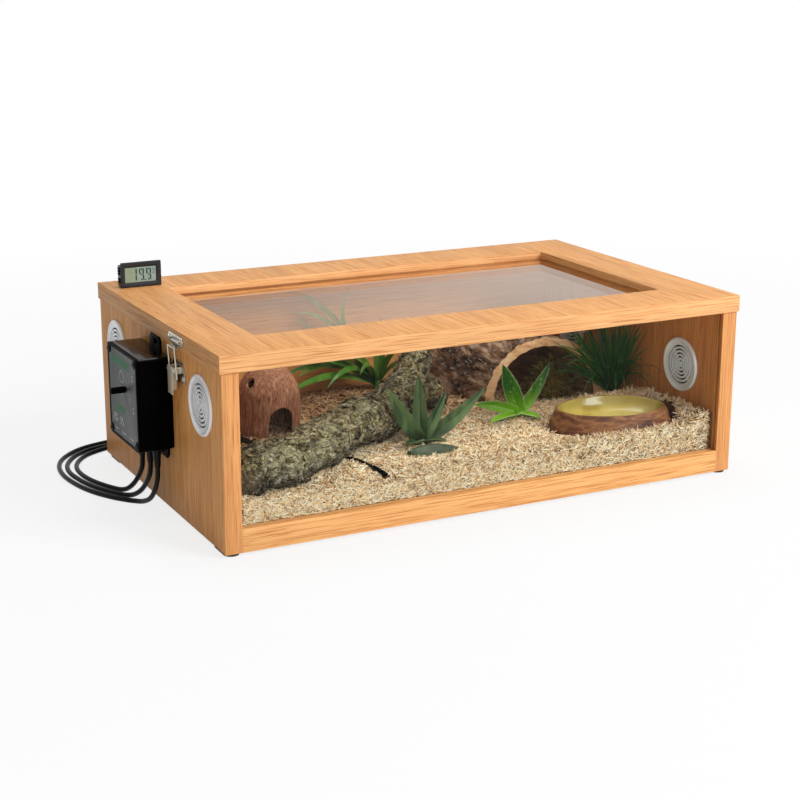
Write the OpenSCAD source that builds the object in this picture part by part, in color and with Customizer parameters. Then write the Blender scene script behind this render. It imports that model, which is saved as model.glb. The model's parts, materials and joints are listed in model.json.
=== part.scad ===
// Terrarium cabinet: a low veneered cage with a glazed front and a hinged, glazed lid.
// A control box, a toggle latch and vents sit on its walls, and a furnished bed lies inside.
// Millimetres. +Z is up, the glazed front faces -Y, and the control box is on the -X wall.
// The origin is on the ground under the middle of the lid.

/* [Cabinet] */
// Width over the two side panels
cabinet_w = 606; // [600:1:760]
// Depth of the side panels
cabinet_d = 379.5; // [376:0.5:480]
// Height of the side panels
wall_h = 183; // [178:1:260]
// Thickness of the veneered boards
board_t = 18; // [15:0.5:22]
// Thickness of the back panel
back_t = 9; // [6:0.5:15]
// Thickness of the floor panel
floor_t = 9; // [6:0.5:15]
// Height of the rail under the front glass
rail_h = 24.5; // [20:0.5:40]
// Height of the feet
foot_h = 2.5; // [2:0.5:8]
// Length of each foot
foot_l = 40; // [25:1:60]

/* [Lid] */
// How far the lid stands out past each side panel
lid_side_overhang = 2; // [1:0.5:3]
// How far the lid stands out in front
lid_front_overhang = 1.5; // [0.5:0.5:6]
// Width of the lid's two side rails
lid_side_rail = 62; // [50:1:90]
// Width of the lid's front and back rails
lid_end_rail = 65; // [50:1:90]
// Depth of the recess above the lid glass
lid_recess = 8; // [5:0.5:10]
// Width of the rebate that the lid glass lies in
rebate_w = 9; // [7:0.5:14]
// How far the lid opens, in degrees
lid_swing = 105; // [60:5:105]

/* [Glass] */
// Thickness of both panes
glass_t = 4; // [3:0.5:5]
// How far the front pane stands behind the front edges
glass_setback = 4.5; // [3:0.5:6]
// Depth of the grooves that hold the front pane
groove_depth = 6; // [4:0.5:8]
// Play of a pane in its groove or rebate
glass_play = 0.3; // [0.1:0.1:0.6]

/* [Vents] */
// Outer diameter of a vent's flange
vent_d = 62; // [54:1:66]
// Diameter of the hole that a vent fills
vent_bore = 50; // [42:1:52]
// Thickness of a vent's flange
vent_t = 2; // [1.5:0.5:3]
// Distance between the two vents in the left wall
vent_pitch_left = 264; // [240:1:268]
// Distance between the two vents in the right wall
vent_pitch_right = 232; // [200:1:260]
// Height of the left vents above the panel's foot
vent_z_left = 138; // [110:1:145]
// Height of the right vents above the panel's foot
vent_z_right = 108; // [96:1:145]
// Number of ring slots in a vent
vent_rings = 4; // [3:1:5]

/* [Control box] */
// Width of the control box
box_w = 94; // [80:1:100]
// Height of the control box
box_h = 99; // [90:1:110]
// Depth of the control box, cover included
box_d = 36; // [30:1:45]
// Distance from the panel's top down to the control box
box_drop = 14.5; // [14.5:0.5:18]
// Wall thickness of the control box
box_wall = 2.5; // [2:0.5:3.5]
// Thickness of the cover
cover_t = 3.5; // [3:0.5:5]
// Thickness of the wall bracket
bracket_t = 2; // [1.5:0.5:3]
// Diameter of the setting knob
knob_d = 7; // [6:0.5:12]
// Length of the setting knob
knob_l = 15.5; // [10:0.5:20]

/* [Latch] */
// Place of the latches along the depth, from the middle of the lid
latch_y = -71; // [-72:1:-69]
// Height of the lever's pivot below the top of the wall
latch_drop = 22; // [20.5:0.5:24]
// Diameter of the loop's wire
wire_d = 2; // [1.6:0.1:2.2]
// Length of the lever's tail
lever_l = 24; // [20:1:32]
// How far the lever opens, in degrees
lever_swing = 150; // [90:5:150]

/* [Hinges] */
// Distance between the two hinges
hinge_pitch = 400; // [300:5:480]
// Width of a hinge
hinge_w = 40; // [30:1:60]
// Height of one hinge leaf
hinge_leaf_h = 16; // [13:0.5:17]
// Radius of the hinge pin
hinge_pin_r = 1.2; // [1:0.1:1.5]

/* [Thermometer] */
// Width of the thermometer
meter_w = 47; // [40:1:60]
// Height of the thermometer
meter_h = 28.5; // [24:0.5:36]
// Depth of the thermometer
meter_d = 15; // [12:0.5:20]

/* [Furnishings] */
// Depth of the bedding
bed_depth = 34.5; // [30:0.5:36]
// Length of the water dish
dish_l = 148; // [130:1:154]
// Width of the water dish
dish_w = 105; // [90:1:110]
// Height of the water dish
dish_h = 24; // [20:1:32]
// Radius of the coconut hide
hide_r = 36; // [30:1:37]
// Height of the coconut hide
hide_h = 80; // [70:1:90]
// Wall thickness of the coconut hide
hide_wall = 4; // [3:0.5:6]
// Wall thickness of the cork arch
arch_wall = 12; // [8:0.5:14]
// Height of the grass tuft
grass_h = 92; // [70:1:96]

/* [Leads] */
// Diameter of the mains and heater leads
lead_d = 5.5; // [5:0.1:6]
// Diameter of the sensor lead
probe_lead_d = 3.2; // [2.6:0.1:3.6]
// Number of turns of the stored mains lead
coil_turns = 6; // [4:1:7]
// Radius of the stored turns
coil_r = 30; // [28:1:33]
// Rise of one stored turn
coil_pitch = 6.1; // [6:0.1:7]

/* [Hidden] */
$fn = 48;

// Colours
wood_side = [0.72, 0.50, 0.30];
wood_edge = [0.91, 0.66, 0.42];
wood_top = [0.88, 0.70, 0.47];
vent_grey = [0.80, 0.80, 0.81];
black = [0.06, 0.06, 0.065];
fascia_grey = [0.24, 0.26, 0.26];
nickel = [0.76, 0.74, 0.69];
glass_tint = [0.75, 0.80, 0.80, 0.35];
straw = [0.83, 0.70, 0.50];
leaf_green = [0.10, 0.30, 0.12];

// Overall frame
half_w = cabinet_w / 2;
lid_w = cabinet_w + 2 * lid_side_overhang;
lid_d = cabinet_d + lid_front_overhang;
back_y = lid_d / 2;
front_y = back_y - cabinet_d;
lid_t = board_t;
wall_top = foot_h + wall_h;
lid_top = wall_top + lid_t;
inner_x = half_w - board_t;
back_inner_y = back_y - back_t;
floor_top = foot_h + floor_t;
rail_top = foot_h + rail_h;
rail_back_y = front_y + board_t;
e = 0.01;

// Glass
pane_front_y = front_y + glass_setback;
pane_back_y = pane_front_y + glass_t;
groove_play = 0.2;
groove_floor_gap = 0.5;
pane_head_gap = 0.8;
opening_x = lid_w / 2 - lid_side_rail;
opening_y = lid_d / 2 - lid_end_rail;
lid_glass_top = lid_top - lid_recess;
lid_glass_z = lid_glass_top - glass_t;
bead_w = rebate_w - glass_play;

// Joints between the boards
rail_dowel_d = 8;
rail_dowel_l = 28;
thin_dowel_d = 5;
thin_dowel_l = 24;
dowel_end_gap = 1;
dowel_play = 0.05;
floor_dowel_y = [-130, 0, 130];
back_dowel_z = [35, 92, 150];

// Vents
vent_play = 0.25;
spigot_wall = 2;
liner_gap = 0.25;
vent_hub_r = 2.6;
vent_spoke = 2.4;
vent_rim_r = vent_bore / 2 - spigot_wall - 2 * liner_gap - spigot_wall;

// Screws
screw_d = 3;
screw_l = 12;
screw_head_d = 6;
screw_head_h = 1.8;

// Control box, placed on the -X wall with its own middle at box_y
box_y = -1;
box_z = wall_top - box_drop - box_h;
box_corner = 4;
box_face_x = -half_w - bracket_t - box_d;
cover_back_x = box_face_x + cover_t;
case_back_x = -half_w - bracket_t;
bracket_edge = 1;
tab_w = 33;
tab_up = 14;
tab_down = 15;
tab_down_shift = -16;
bracket_screw_y_up = box_y - 2;
bracket_screw_z_up = box_z + box_h + 7;
bracket_screw_y_down = box_y + tab_down_shift;
bracket_screw_z_down = box_z - 8;
knob_y = box_y - 9;
knob_z = box_z + 59.5;
knob_shaft_r = 2;
knob_play = 0.08;
knob_gap = 0.4;
cover_screw_inset = 6;
cover_post_r = 4;
cover_screw_l = 12.5;
board_thick = 1.6;
pot_d = 9;
lead_x = -half_w - 16;
lead_ys = [box_y - box_w / 2 + 9, box_y - 15, box_y + 11];
relief_l = 20;
relief_top_r = 5;
relief_collar = 1.2;
lead_top = box_z - relief_l;

// Latch: the local frame has +X pointing out of the wall and its origin at the pivot's height
latch_z = wall_top - latch_drop;
plate_t = 1.2;
pivot_out = 7;
pivot_r = 1;
pivot_play = 0.06;
lug_in = 7.4;
lug_t = 1;
lug_r = 3.4;
flange_in = 5;
flange_t = 1.2;
lever_face_out = pivot_out + 2;
bail_out = pivot_out - 1;
bail_drop = 8;
bail_half = 10;
keeper_lip_h = 5;
hook_half = 6;
hook_bottom = latch_drop - 2;
hook_floor_out = lid_side_overhang + 4.4;
crossbar_out = hook_floor_out + 0.4 + wire_d / 2;
crossbar_z = latch_drop + 1.5;
keeper_half = 21;
keeper_z = latch_drop + 3;
keeper_h = 11;
keeper_screw_y = 16.5;
base_screw_y = 15.5;
base_screw_z = -7.5;

// Hinges
knuckle_r = hinge_pin_r + 1.2;
hinge_y = back_y + knuckle_r + 0.2;
hinge_z = wall_top;
knuckle_gap = 0.3;
leaf_t = 1.2;
leaf_start = knuckle_r + 0.5;
leaf_screw_z = 9.5;
leaf_screw_x = 12;

// Thermometer
meter_x = -lid_w / 2 + 37;
meter_y = lid_d / 2 - 45;
meter_bezel = 2;
meter_step = 1.2;
meter_glass_w = 30;
meter_glass_h = 14.5;

// Grommet in the back panel
grommet_x = -inner_x + 45;
grommet_z = 78;
grommet_bore = 24;
grommet_lip = 4;
grommet_lip_t = 2;
grommet_play = 0.1;

// Bedding: flat where things stand on it, heaped in the front right corner
bed_top = floor_top + bed_depth;
bed_gap = 0.3;
heap_back = 18;
heap_side = 22;
heap_front = 8;
bed_lump = 1.8;
bed_nx = 30;
bed_ny = 18;

// Water dish, measured from the right wall and the glass
dish_x = inner_x - 87.4;
dish_y = pane_back_y + 73.9;
dish_z = bed_top;
dish_turn = -10;
dish_wall = 2.8;
dish_flare = 9;
dish_floor = 5;

// Coconut hide, measured from the left wall and the back panel
hide_x = -inner_x + 129;
hide_y = back_inner_y - 130;
hide_door_w = 27.5;
hide_door_h = 34;
hide_door_turn = -88;
hide_hole_r = 5;

// Log: the axis and its radius, measured from the left wall and the glass
log_seat = 1.5;
log_corner = [-inner_x, pane_back_y, bed_top - log_seat];
log_points = [[19, 22.5, 20.8, 19.3], [33, 36.5, 25, 23], [75.3, 48.5, 26.4, 24], [123, 75.5, 32, 24],
    [158, 100, 34, 22.5], [191, 120.5, 34, 24.5], [213, 135.5, 31, 24], [237, 150.5, 32, 22],
    [263, 168.5, 47, 20], [285, 185.5, 63, 18], [300, 200, 75, 15]];
fork_points = [[262, 170, 44, 14], [284, 184, 42, 14], [310, 200.5, 36, 13.5], [333, 220.5, 18, 12.5],
    [342, 228, 13, 10]];
log_sides = 18;

// Cork arch, measured from the right wall and the back panel: each end has a middle and a half width
arch_corner = [inner_x, back_inner_y, bed_top];
arch_front = [-93, -160];
arch_front_half = [77, -21];
arch_rear = [-148, -42];
arch_rear_half = [66, 8];
arch_front_h = 80;
arch_rear_h = 82;
arch_steps = 18;
arch_stations = 8;

// Plants: every crown stands on the bed
spider_at = [-inner_x + 316, back_inner_y - 27, bed_top];
aloe_front_at = [-inner_x + 256, pane_back_y + 106, bed_top];
aloe_middle_at = [inner_x - 161, pane_back_y + 152, bed_top];
grass_at = [inner_x - 18, pane_back_y + 174, bed_top];
moss_rx = 26;
moss_ry = 25;
moss_h = 42;

// Leads: routes are chosen by hand
mains_route = [[-319, -39, 52], [-319, -39, 46], [-319.5, -37, 36], [-320.5, -30, 23], [-322, -19, 12],
    [-325, -5, 5.2], [-330, 6, 2.9], [-338, 15, 2.8], [-348, 29, 2.8], [-359, 50, 2.8],
    [-367, 73, 2.8], [-372, 98, 2.8], [-374, 124, 2.8], [-371, 152, 2.8], [-362, 177, 2.8],
    [-346, 198, 2.8], [-325, 214, 2.8], [-300, 223, 2.8], [-274, 227, 3.2], [-248, 228, 3.8],
    [-224, 228, 4.2], [-202, 228, 4.2], [-182, 228, 4.2], [-170, 228, 4.2]];
heater_route = [[-319, -16, 52], [-319, -16, 46], [-319.5, -13, 36], [-321, -4, 24], [-323, 8, 13],
    [-327, 20, 5.5], [-333, 29, 3], [-341, 41, 2.8], [-350, 58, 2.8], [-358, 80, 2.8],
    [-363, 104, 2.8], [-365, 130, 2.8], [-361, 155, 2.8], [-351, 176, 2.8], [-336, 194, 2.8],
    [-315, 207, 2.8], [-290, 213, 3.5], [-266, 216, 9], [-248, 219, 22], [-238, 222, 40],
    [-234, 221, 58], [-234, 212, 72], [-234, 201, 78], [-234, 192.5, 78]];
sensor_route = [[-319, 10, 52], [-319, 10, 46], [-319.5, 12, 37], [-321, 19, 26], [-323.5, 29, 15],
    [-327, 39, 7], [-332, 48, 3.3], [-339, 61, 2.8], [-347, 80, 2.8], [-353, 102, 2.8],
    [-355, 126, 2.8], [-352, 149, 2.8], [-343, 169, 2.8], [-328, 187, 2.8], [-310, 198, 2.8],
    [-291, 203, 4.5], [-273, 206, 11], [-258, 209, 24], [-250, 212, 42], [-247, 212, 60],
    [-246, 207, 72], [-246, 200, 77.6], [-246, 192.5, 78]];
inner_heater_route = [[-234, 179.5, 78], [-234, 174, 78], [-234.5, 163, 74], [-235.5, 151, 66],
    [-237, 139, 57], [-238, 127, 51], [-238, 113, 49.2], [-235, 96, 49.1], [-227, 78, 49.1],
    [-217, 61, 49.1], [-207, 44, 49.1], [-200, 26, 49.1], [-197.4, 10, 49.6], [-197, -4, 50.8],
    [-197, -12, 51]];
inner_probe_route = [[-246, 179.5, 78], [-246, 176, 77.8], [-246, 166, 73], [-247, 153, 63],
    [-248, 140, 53], [-249, 127, 48.3], [-248, 110, 47.9], [-244, 92, 47.9], [-236, 73, 47.9],
    [-227, 56, 47.9], [-218, 38, 47.9], [-213, 18, 47.9], [-211.5, -4, 47.9], [-211, -26, 47.9],
    [-206, -45, 47.9], [-191, -59, 47.9], [-170, -65, 47.9], [-150, -68, 47.9], [-133, -75, 47.9],
    [-121, -89, 47.9], [-115, -107, 47.9], [-114, -124, 48.2], [-114, -132, 48.6]];
tail_route = [[-170, 228, 40.8], [-160, 228, 40.5], [-146, 228.5, 39], [-130, 230, 35], [-114, 233, 28],
    [-99, 238, 19.5], [-85, 246, 11.5], [-73, 256, 6.5], [-64, 268, 4.6], [-58, 283, 4.6],
    [-56, 298, 5.6], [-56, 310, 7.4], [-56, 319, 8], [-56, 325, 8]];
coil_at = [-170, 258, 4.2];
coil_rings = 24;
plug_at = [-56, 349, 0];
plug_r = 6;

// ---------------------------------------------------------------- shapes from rings of points
function unit(v) = v / norm(v);
function ease(t) = t <= 0 ? 0 : t >= 1 ? 1 : t * t * (3 - 2 * t);
function mix(a, b, t) = a + (b - a) * t;
function xyz(p) = [p[0], p[1], p[2]];

// The direction of a path at each of its points
function headings(p) = [for (i = [0 : len(p) - 1])
    unit(p[min(i + 1, len(p) - 1)] - p[max(i - 1, 0)])];

// A side direction carried along the path without twist
function carried(d, s) = [for (i = 0, u = unit(s - (s * d[0]) * d[0]); i < len(d);
    i = i + 1, u = i < len(d) ? unit(u - (u * d[i]) * d[i]) : u) u];

// A smooth curve through hand-chosen points, with steps pieces between neighbours
function knot(p, i) = p[max(0, min(len(p) - 1, i))];
function between(a, b, c, d, t) = 0.5 * (2 * b + (c - a) * t + (2 * a - 5 * b + 4 * c - d) * t * t
    + (3 * b - a - 3 * c + d) * t * t * t);
function curve(p, steps) = [for (i = [0 : len(p) - 2], k = [0 : steps - 1])
    between(knot(p, i - 1), p[i], p[i + 1], knot(p, i + 2), k / steps), p[len(p) - 1]];

// One ring of a tube: radius r at the point c, square to d
function ring(c, d, u, r, sides) = [for (j = [0 : sides - 1])
    c + r * (cos(360 * j / sides) * u + sin(360 * j / sides) * cross(d, u))];

// A closed solid through rings that hold the same number of points; end lists the faces that close the first
module skin(rings, end = []) {
    n = len(rings[0]);
    last = len(rings) - 1;
    points = [for (r = rings) each r];
    sides = [for (k = [0 : last - 1], j = [0 : n - 1]) let (m = (j + 1) % n)
        each [[k * n + j, (k + 1) * n + j, (k + 1) * n + m], [k * n + j, (k + 1) * n + m, k * n + m]]];
    first = len(end) > 0 ? end : [[for (j = [0 : n - 1]) j]];
    far = [for (f = first) [for (j = [len(f) - 1 : -1 : 0]) last * n + f[j]]];
    polyhedron(points, concat(sides, first, far), convexity = 8);
}

module tube(route, d, sides) {
    h = headings(route);
    u = carried(h, [1, 0.2, 0.1]);
    skin([for (i = [0 : len(route) - 1]) ring(route[i], h[i], u[i], d / 2, sides)]);
}

// A leaf from foot to tip: a bent blade of width w and thickness t whose flat side faces one way
module leaf(foot, tip, rise, w, t, steps = 6, facing = [-0.25, -0.6, 0.75]) {
    side = unit(cross(facing, tip - foot));
    mid = (foot + tip) / 2 + [0, 0, rise];
    path = [for (i = [0 : steps]) let (s = i / steps)
        (1 - s) * (1 - s) * foot + 2 * s * (1 - s) * mid + s * s * tip];
    h = headings(path);
    skin([for (i = [0 : steps]) let (s = i / steps, half = w / 2 * max(0.06, (0.62 + 1.1 * s - 1.66 * s * s)),
        up = cross(h[i], side), thin = t / 2 * max(0.15, 1 - 0.8 * s))
        [path[i] + half * side, path[i] + thin * up, path[i] - half * side, path[i] - thin * up]]);
}

module rounded_rect(w, h, r) {
    square([w - 2 * r, h], center = true);
    square([w, h - 2 * r], center = true);
    for (sx = [-1, 1], sy = [-1, 1]) {
        translate([sx * (w / 2 - r), sy * (h / 2 - r)]) circle(r);
    }
}

module block(x0, x1, y0, y1, z0, z1) {
    translate([x0, y0, z0]) cube([x1 - x0, y1 - y0, z1 - z0]);
}

// A cylinder along Y whose middle is at the origin
module rod_y(r, l) {
    rotate([90, 0, 0]) cylinder(r = r, h = l, center = true);
}

// A cylinder that points along +X from the origin
module rod_x(r, l) {
    rotate([0, 90, 0]) cylinder(r = r, h = l);
}

// A pan-head screw whose head stands on the origin and whose shank runs along -X
module screw_x(d = screw_d, l = screw_l, head = screw_head_d, head_h = screw_head_h) {
    translate([-l, 0, 0]) rod_x(d / 2, l + e);
    difference() {
        union() {
            rod_x(head / 2, head_h * 0.55);
            rod_x(head / 2 - 0.5, head_h);
        }
        translate([head_h, 0, 0]) cube([head_h * 0.8, head * 0.7, head * 0.14], center = true);
        translate([head_h, 0, 0]) cube([head_h * 0.8, head * 0.14, head * 0.7], center = true);
    }
}

// Puts a piece drawn with +X outwards onto the left (-1) or right (1) wall
module on_wall(side) {
    translate([side * half_w, 0, 0]) mirror([side < 0 ? 1 : 0, 0, 0]) children();
}

// ---------------------------------------------------------------- boards
module dowel_holes(side) {
    inner = side * inner_x;
    dir = side < 0 ? -1 : 1;
    translate([inner, front_y + board_t / 2, foot_h + rail_h / 2 - 3])
        rotate([0, dir * 90, 0]) cylinder(d = rail_dowel_d, h = rail_dowel_l / 2 + dowel_end_gap);
    for (y = floor_dowel_y) {
        translate([inner, y, foot_h + floor_t / 2])
            rotate([0, dir * 90, 0]) cylinder(d = thin_dowel_d, h = thin_dowel_l / 2 + dowel_end_gap);
    }
    for (z = back_dowel_z) {
        translate([inner, back_y - back_t / 2, foot_h + z])
            rotate([0, dir * 90, 0]) cylinder(d = thin_dowel_d, h = thin_dowel_l / 2 + dowel_end_gap);
    }
}

module side_panel(side, pitch, vent_z) {
    outer = side * half_w;
    inner = side * inner_x;
    difference() {
        block(min(outer, inner), max(outer, inner), front_y, back_y, foot_h, wall_top);
        groove_in = side * (inner_x + groove_depth);
        block(min(groove_in, inner - side * e), max(groove_in, inner - side * e),
            pane_front_y - groove_play, pane_back_y + groove_play,
            rail_top - groove_depth, wall_top + e);
        for (s = [-1, 1]) {
            translate([side * (inner_x - e), s * pitch / 2, foot_h + vent_z])
                rotate([0, side * 90, 0]) cylinder(d = vent_bore, h = board_t + 2 * e);
        }
        dowel_holes(side);
        on_wall(side) {
            for (s = [-1, 1]) {
                translate([-screw_l + plate_t, latch_y + s * base_screw_y, latch_z + base_screw_z])
                    rod_x(screw_d / 2, screw_l);
            }
            if (side < 0) {
                for (p = [[bracket_screw_y_up, bracket_screw_z_up],
                    [bracket_screw_y_down, bracket_screw_z_down]]) {
                    translate([-screw_l + bracket_t, p[0], p[1]]) rod_x(screw_d / 2, screw_l);
                }
            }
        }
    }
}

module left_side_panel() {
    color(wood_side) side_panel(-1, vent_pitch_left, vent_z_left);
}

module right_side_panel() {
    color(wood_side) side_panel(1, vent_pitch_right, vent_z_right);
}

module cross_dowel_holes(d, l, y, z) {
    for (s = [-1, 1]) {
        translate([s * inner_x, y, z]) rotate([0, -s * 90, 0]) cylinder(d = d, h = l / 2 + dowel_end_gap);
    }
}

module back_panel() {
    color(wood_side) difference() {
        block(-inner_x, inner_x, back_inner_y, back_y, foot_h, wall_top);
        for (z = back_dowel_z) {
            cross_dowel_holes(thin_dowel_d, thin_dowel_l, back_y - back_t / 2, foot_h + z);
        }
        translate([grommet_x, back_y + e, grommet_z]) rotate([90, 0, 0])
            cylinder(d = grommet_bore, h = back_t + 2 * e);
        for (h = [-1, 1], s = [-1, 1]) {
            translate([h * hinge_pitch / 2 + s * leaf_screw_x, back_y + leaf_t, hinge_z - leaf_screw_z])
                rotate([0, 0, 90]) translate([-hinge_screw_l, 0, 0]) rod_x(screw_d / 2, hinge_screw_l);
        }
    }
}

module floor_panel() {
    color(wood_side) difference() {
        block(-inner_x, inner_x, rail_back_y, back_inner_y, foot_h, floor_top);
        for (y = floor_dowel_y) {
            cross_dowel_holes(thin_dowel_d, thin_dowel_l, y, foot_h + floor_t / 2);
        }
    }
}

module front_rail() {
    color(wood_edge) difference() {
        block(-inner_x, inner_x, front_y, rail_back_y, foot_h, rail_top);
        block(-inner_x - e, inner_x + e, pane_front_y - groove_play, pane_back_y + groove_play,
            rail_top - groove_depth, rail_top + e);
        cross_dowel_holes(rail_dowel_d, rail_dowel_l, front_y + board_t / 2, foot_h + rail_h / 2 - 3);
    }
}

module front_glass() {
    side_play = glass_play;
    color(glass_tint) block(-inner_x - groove_depth + side_play, inner_x + groove_depth - side_play,
        pane_front_y, pane_back_y, rail_top - groove_depth + groove_floor_gap / 2, wall_top - pane_head_gap);
}

module dowel(d, l, p) {
    translate(p) rotate([0, 90, 0]) cylinder(d = d - 2 * dowel_play, h = l, center = true);
}

module joint_dowels() {
    color([0.80, 0.66, 0.45]) for (s = [-1, 1]) {
        dowel(rail_dowel_d, rail_dowel_l, [s * inner_x, front_y + board_t / 2, foot_h + rail_h / 2 - 3]);
        for (y = floor_dowel_y) {
            dowel(thin_dowel_d, thin_dowel_l, [s * inner_x, y, foot_h + floor_t / 2]);
        }
        for (z = back_dowel_z) {
            dowel(thin_dowel_d, thin_dowel_l, [s * inner_x, back_y - back_t / 2, foot_h + z]);
        }
    }
}

// Rounded pads under the ends of the side panels
module feet() {
    foot_w = board_t - 2;
    color([0.16, 0.11, 0.08]) for (s = [-1, 1]) {
        for (y = [front_y + foot_l / 2 + 1, back_y - foot_l / 2 - 6]) {
            translate([s * (half_w - board_t / 2), y, 0]) {
                linear_extrude(foot_h) rounded_rect(foot_w, foot_l, foot_w / 2 - e);
            }
        }
    }
}

// ---------------------------------------------------------------- vents
// A vent's slotted disc lies in the plane x = 0 and its spigot runs along -X
module vent_part(spigot_r, spigot_l, rim_h, dish) {
    slot_step = (vent_rim_r - vent_hub_r) / (vent_rings + 0.5);
    difference() {
        union() {
            rod_x(vent_d / 2, vent_t);
            rotate([0, 90, 0]) rotate_extrude() translate([vent_d / 2 - 2.2, vent_t])
                polygon([[0, -1], [2.2, -1], [2.2, 0], [1.6, rim_h], [0.6, rim_h], [0, 0]]);
            difference() {
                translate([-spigot_l, 0, 0]) rod_x(spigot_r, spigot_l + e);
                translate([-spigot_l - e, 0, 0]) rod_x(spigot_r - spigot_wall, spigot_l + e);
            }
        }
        translate([vent_t - dish, 0, 0]) rod_x(vent_rim_r + 1.5, dish + e);
        for (k = [0 : vent_rings - 1]) {
            r = vent_hub_r + slot_step * (k + 0.25);
            difference() {
                translate([-e, 0, 0]) rod_x(r + slot_step * 0.5, vent_t + 2 * e);
                translate([-2 * e, 0, 0]) rod_x(r, vent_t + 4 * e);
                for (a = [0, 90]) {
                    rotate([a + 45 * (k % 2), 0, 0]) translate([vent_t / 2, 0, 0])
                        cube([vent_t + 1, vent_spoke, 2 * vent_bore], center = true);
                }
            }
        }
    }
}

module vents(from_inside) {
    for (side = [-1, 1], s = [-1, 1]) {
        pitch = side < 0 ? vent_pitch_left : vent_pitch_right;
        vz = side < 0 ? vent_z_left : vent_z_right;
        translate([0, s * pitch / 2, foot_h + vz]) {
            if (from_inside) {
                translate([side * inner_x, 0, 0]) mirror([side > 0 ? 1 : 0, 0, 0])
                    vent_part(vent_bore / 2 - vent_play - spigot_wall - liner_gap, board_t - 6, 1, 0.8);
            } else {
                on_wall(side) vent_part(vent_bore / 2 - vent_play, board_t - 1, 0.5, 0.4);
            }
        }
    }
}

module vent_grilles() {
    color(vent_grey) vents(false);
}

module vent_liners() {
    color(vent_grey) vents(true);
}

// ---------------------------------------------------------------- grommet
module cable_grommet() {
    r = grommet_bore / 2;
    color(black) translate([grommet_x, 0, grommet_z]) {
        translate([0, back_y, 0]) rotate([90, 0, 0]) cylinder(r = r - grommet_play, h = back_t);
        translate([0, back_y + grommet_lip_t, 0]) rotate([90, 0, 0])
            cylinder(r = r + grommet_lip, h = grommet_lip_t);
        translate([0, back_inner_y, 0]) rotate([90, 0, 0])
            cylinder(r = r + grommet_lip, h = grommet_lip_t);
    }
}

// ---------------------------------------------------------------- bedding and furnishings
// Height of the bedding over its flat level: heaped behind and beside the dish, raised before it
function heap(x, y) = let (u = x - inner_x, v = y - pane_back_y) max(
    heap_back * ease((u + 145) / 70) * ease((156 - v) / 24) * ease((v - 78) / 30),
    heap_side * ease((u + 42) / 36) * ease((156 - v) / 44),
    heap_front * ease((u + 225) / 70) * ease((46 - v) / 34));

// Tufts in the loose strip behind the glass, where nothing stands
function tufts(x, y) = let (u = x - inner_x, v = y - pane_back_y)
    bed_lump * ease((u + 385) / 30) * ease((66 - v) / 16) * (0.5 + 0.5 * sin(7 * u + 3 * v) * sin(8 * v - 3 * u));

// One section of the bedding across its depth, from the glass to the back panel
function bed_section(i) = let (x = -inner_x + 2 * inner_x * bed_column(i / bed_nx))
    concat([for (j = [bed_ny : -1 : 0]) let (y = mix(pane_back_y + bed_gap, back_inner_y, bed_row(j / bed_ny)))
        [x, y, bed_top + heap(x, y) + tufts(x, y) - 0.1 - 0.1 * sin(67 * j + 41 * i)]],
        [[x, pane_back_y + bed_gap, rail_top], [x, rail_back_y, rail_top],
        [x, rail_back_y, floor_top], [x, back_inner_y, floor_top]]);

// The grid is finer at the right and at the front, where the bedding is heaped
function bed_column(t) = t < 0.2 ? 2.5 * t : 0.5 + 0.625 * (t - 0.2);
function bed_row(t) = t < 0.8 ? 0.625 * t : 0.5 + 2.5 * (t - 0.8);

// Triangles that close the bedding at its two ends, all from the corner behind the rail's top
bed_n = bed_ny + 5;
bed_hub = bed_ny + 2;
bed_end = [for (j = [0 : bed_n - 1]) let (m = (j + 1) % bed_n) if (j != bed_hub && m != bed_hub) [bed_hub, j, m]];

// The dish stands on the flat level in a pocket as wide as its rim
module substrate_bed() {
    color(straw) difference() {
        skin([for (i = [0 : bed_nx]) bed_section(i)], bed_end);
        translate([dish_x, dish_y, bed_top]) rotate([0, 0, dish_turn]) linear_extrude(2 * dish_h)
            polygon([for (k = [0 : 39]) [(dish_l / 2 + bed_gap) * cos(9 * k), (dish_w / 2 + bed_gap) * sin(9 * k)]]);
    }
}

// An oval ring of the dish: the lobe makes the edge uneven like moulded stone
function dish_ring(a, b, z, lobe) = [for (k = [0 : 39])
    [a * (1 + lobe * sin(27 * k)) * cos(9 * k), b * (1 + lobe * cos(27 * k)) * sin(9 * k), z]];

module water_dish() {
    a = dish_l / 2;
    b = dish_w / 2;
    ia = a - dish_flare - dish_wall;
    ib = b - dish_flare - dish_wall;
    color([0.55, 0.38, 0.22]) translate([dish_x, dish_y, dish_z]) rotate([0, 0, dish_turn]) skin([
        dish_ring(a - 2.5, b - 2.5, 0, 0),
        dish_ring(a - 0.8, b - 0.8, dish_h * 0.14, -0.01),
        dish_ring(a - dish_flare * 0.35, b - dish_flare * 0.35, dish_h * 0.5, -0.01),
        dish_ring(a - dish_flare * 0.75, b - dish_flare * 0.75, dish_h * 0.8, -0.01),
        dish_ring(a - dish_flare, b - dish_flare, dish_h * 0.95, 0),
        dish_ring(a - dish_flare - 0.8, b - dish_flare - 0.8, dish_h, 0),
        dish_ring(ia * 0.99, ib * 0.99, dish_h - 0.8, 0),
        dish_ring(ia * 0.95, ib * 0.94, dish_h * 0.75, 0),
        dish_ring(ia * 0.84, ib * 0.80, dish_h * 0.42, 0),
        dish_ring(ia * 0.62, ib * 0.56, dish_floor, 0)]);
}

// Half outline of the coconut shell: egg-shaped, cut flat at its foot
function shell_point(r, h, k) = let (a = mix(-38, 90, k / 14))
    [r * (a < 0 ? 1 - 0.12 * pow(sin(a), 2) : cos(a)), h * 0.42 + (a < 0 ? h * 0.42 / sin(38) : h * 0.58)
    * sin(a)];

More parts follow.
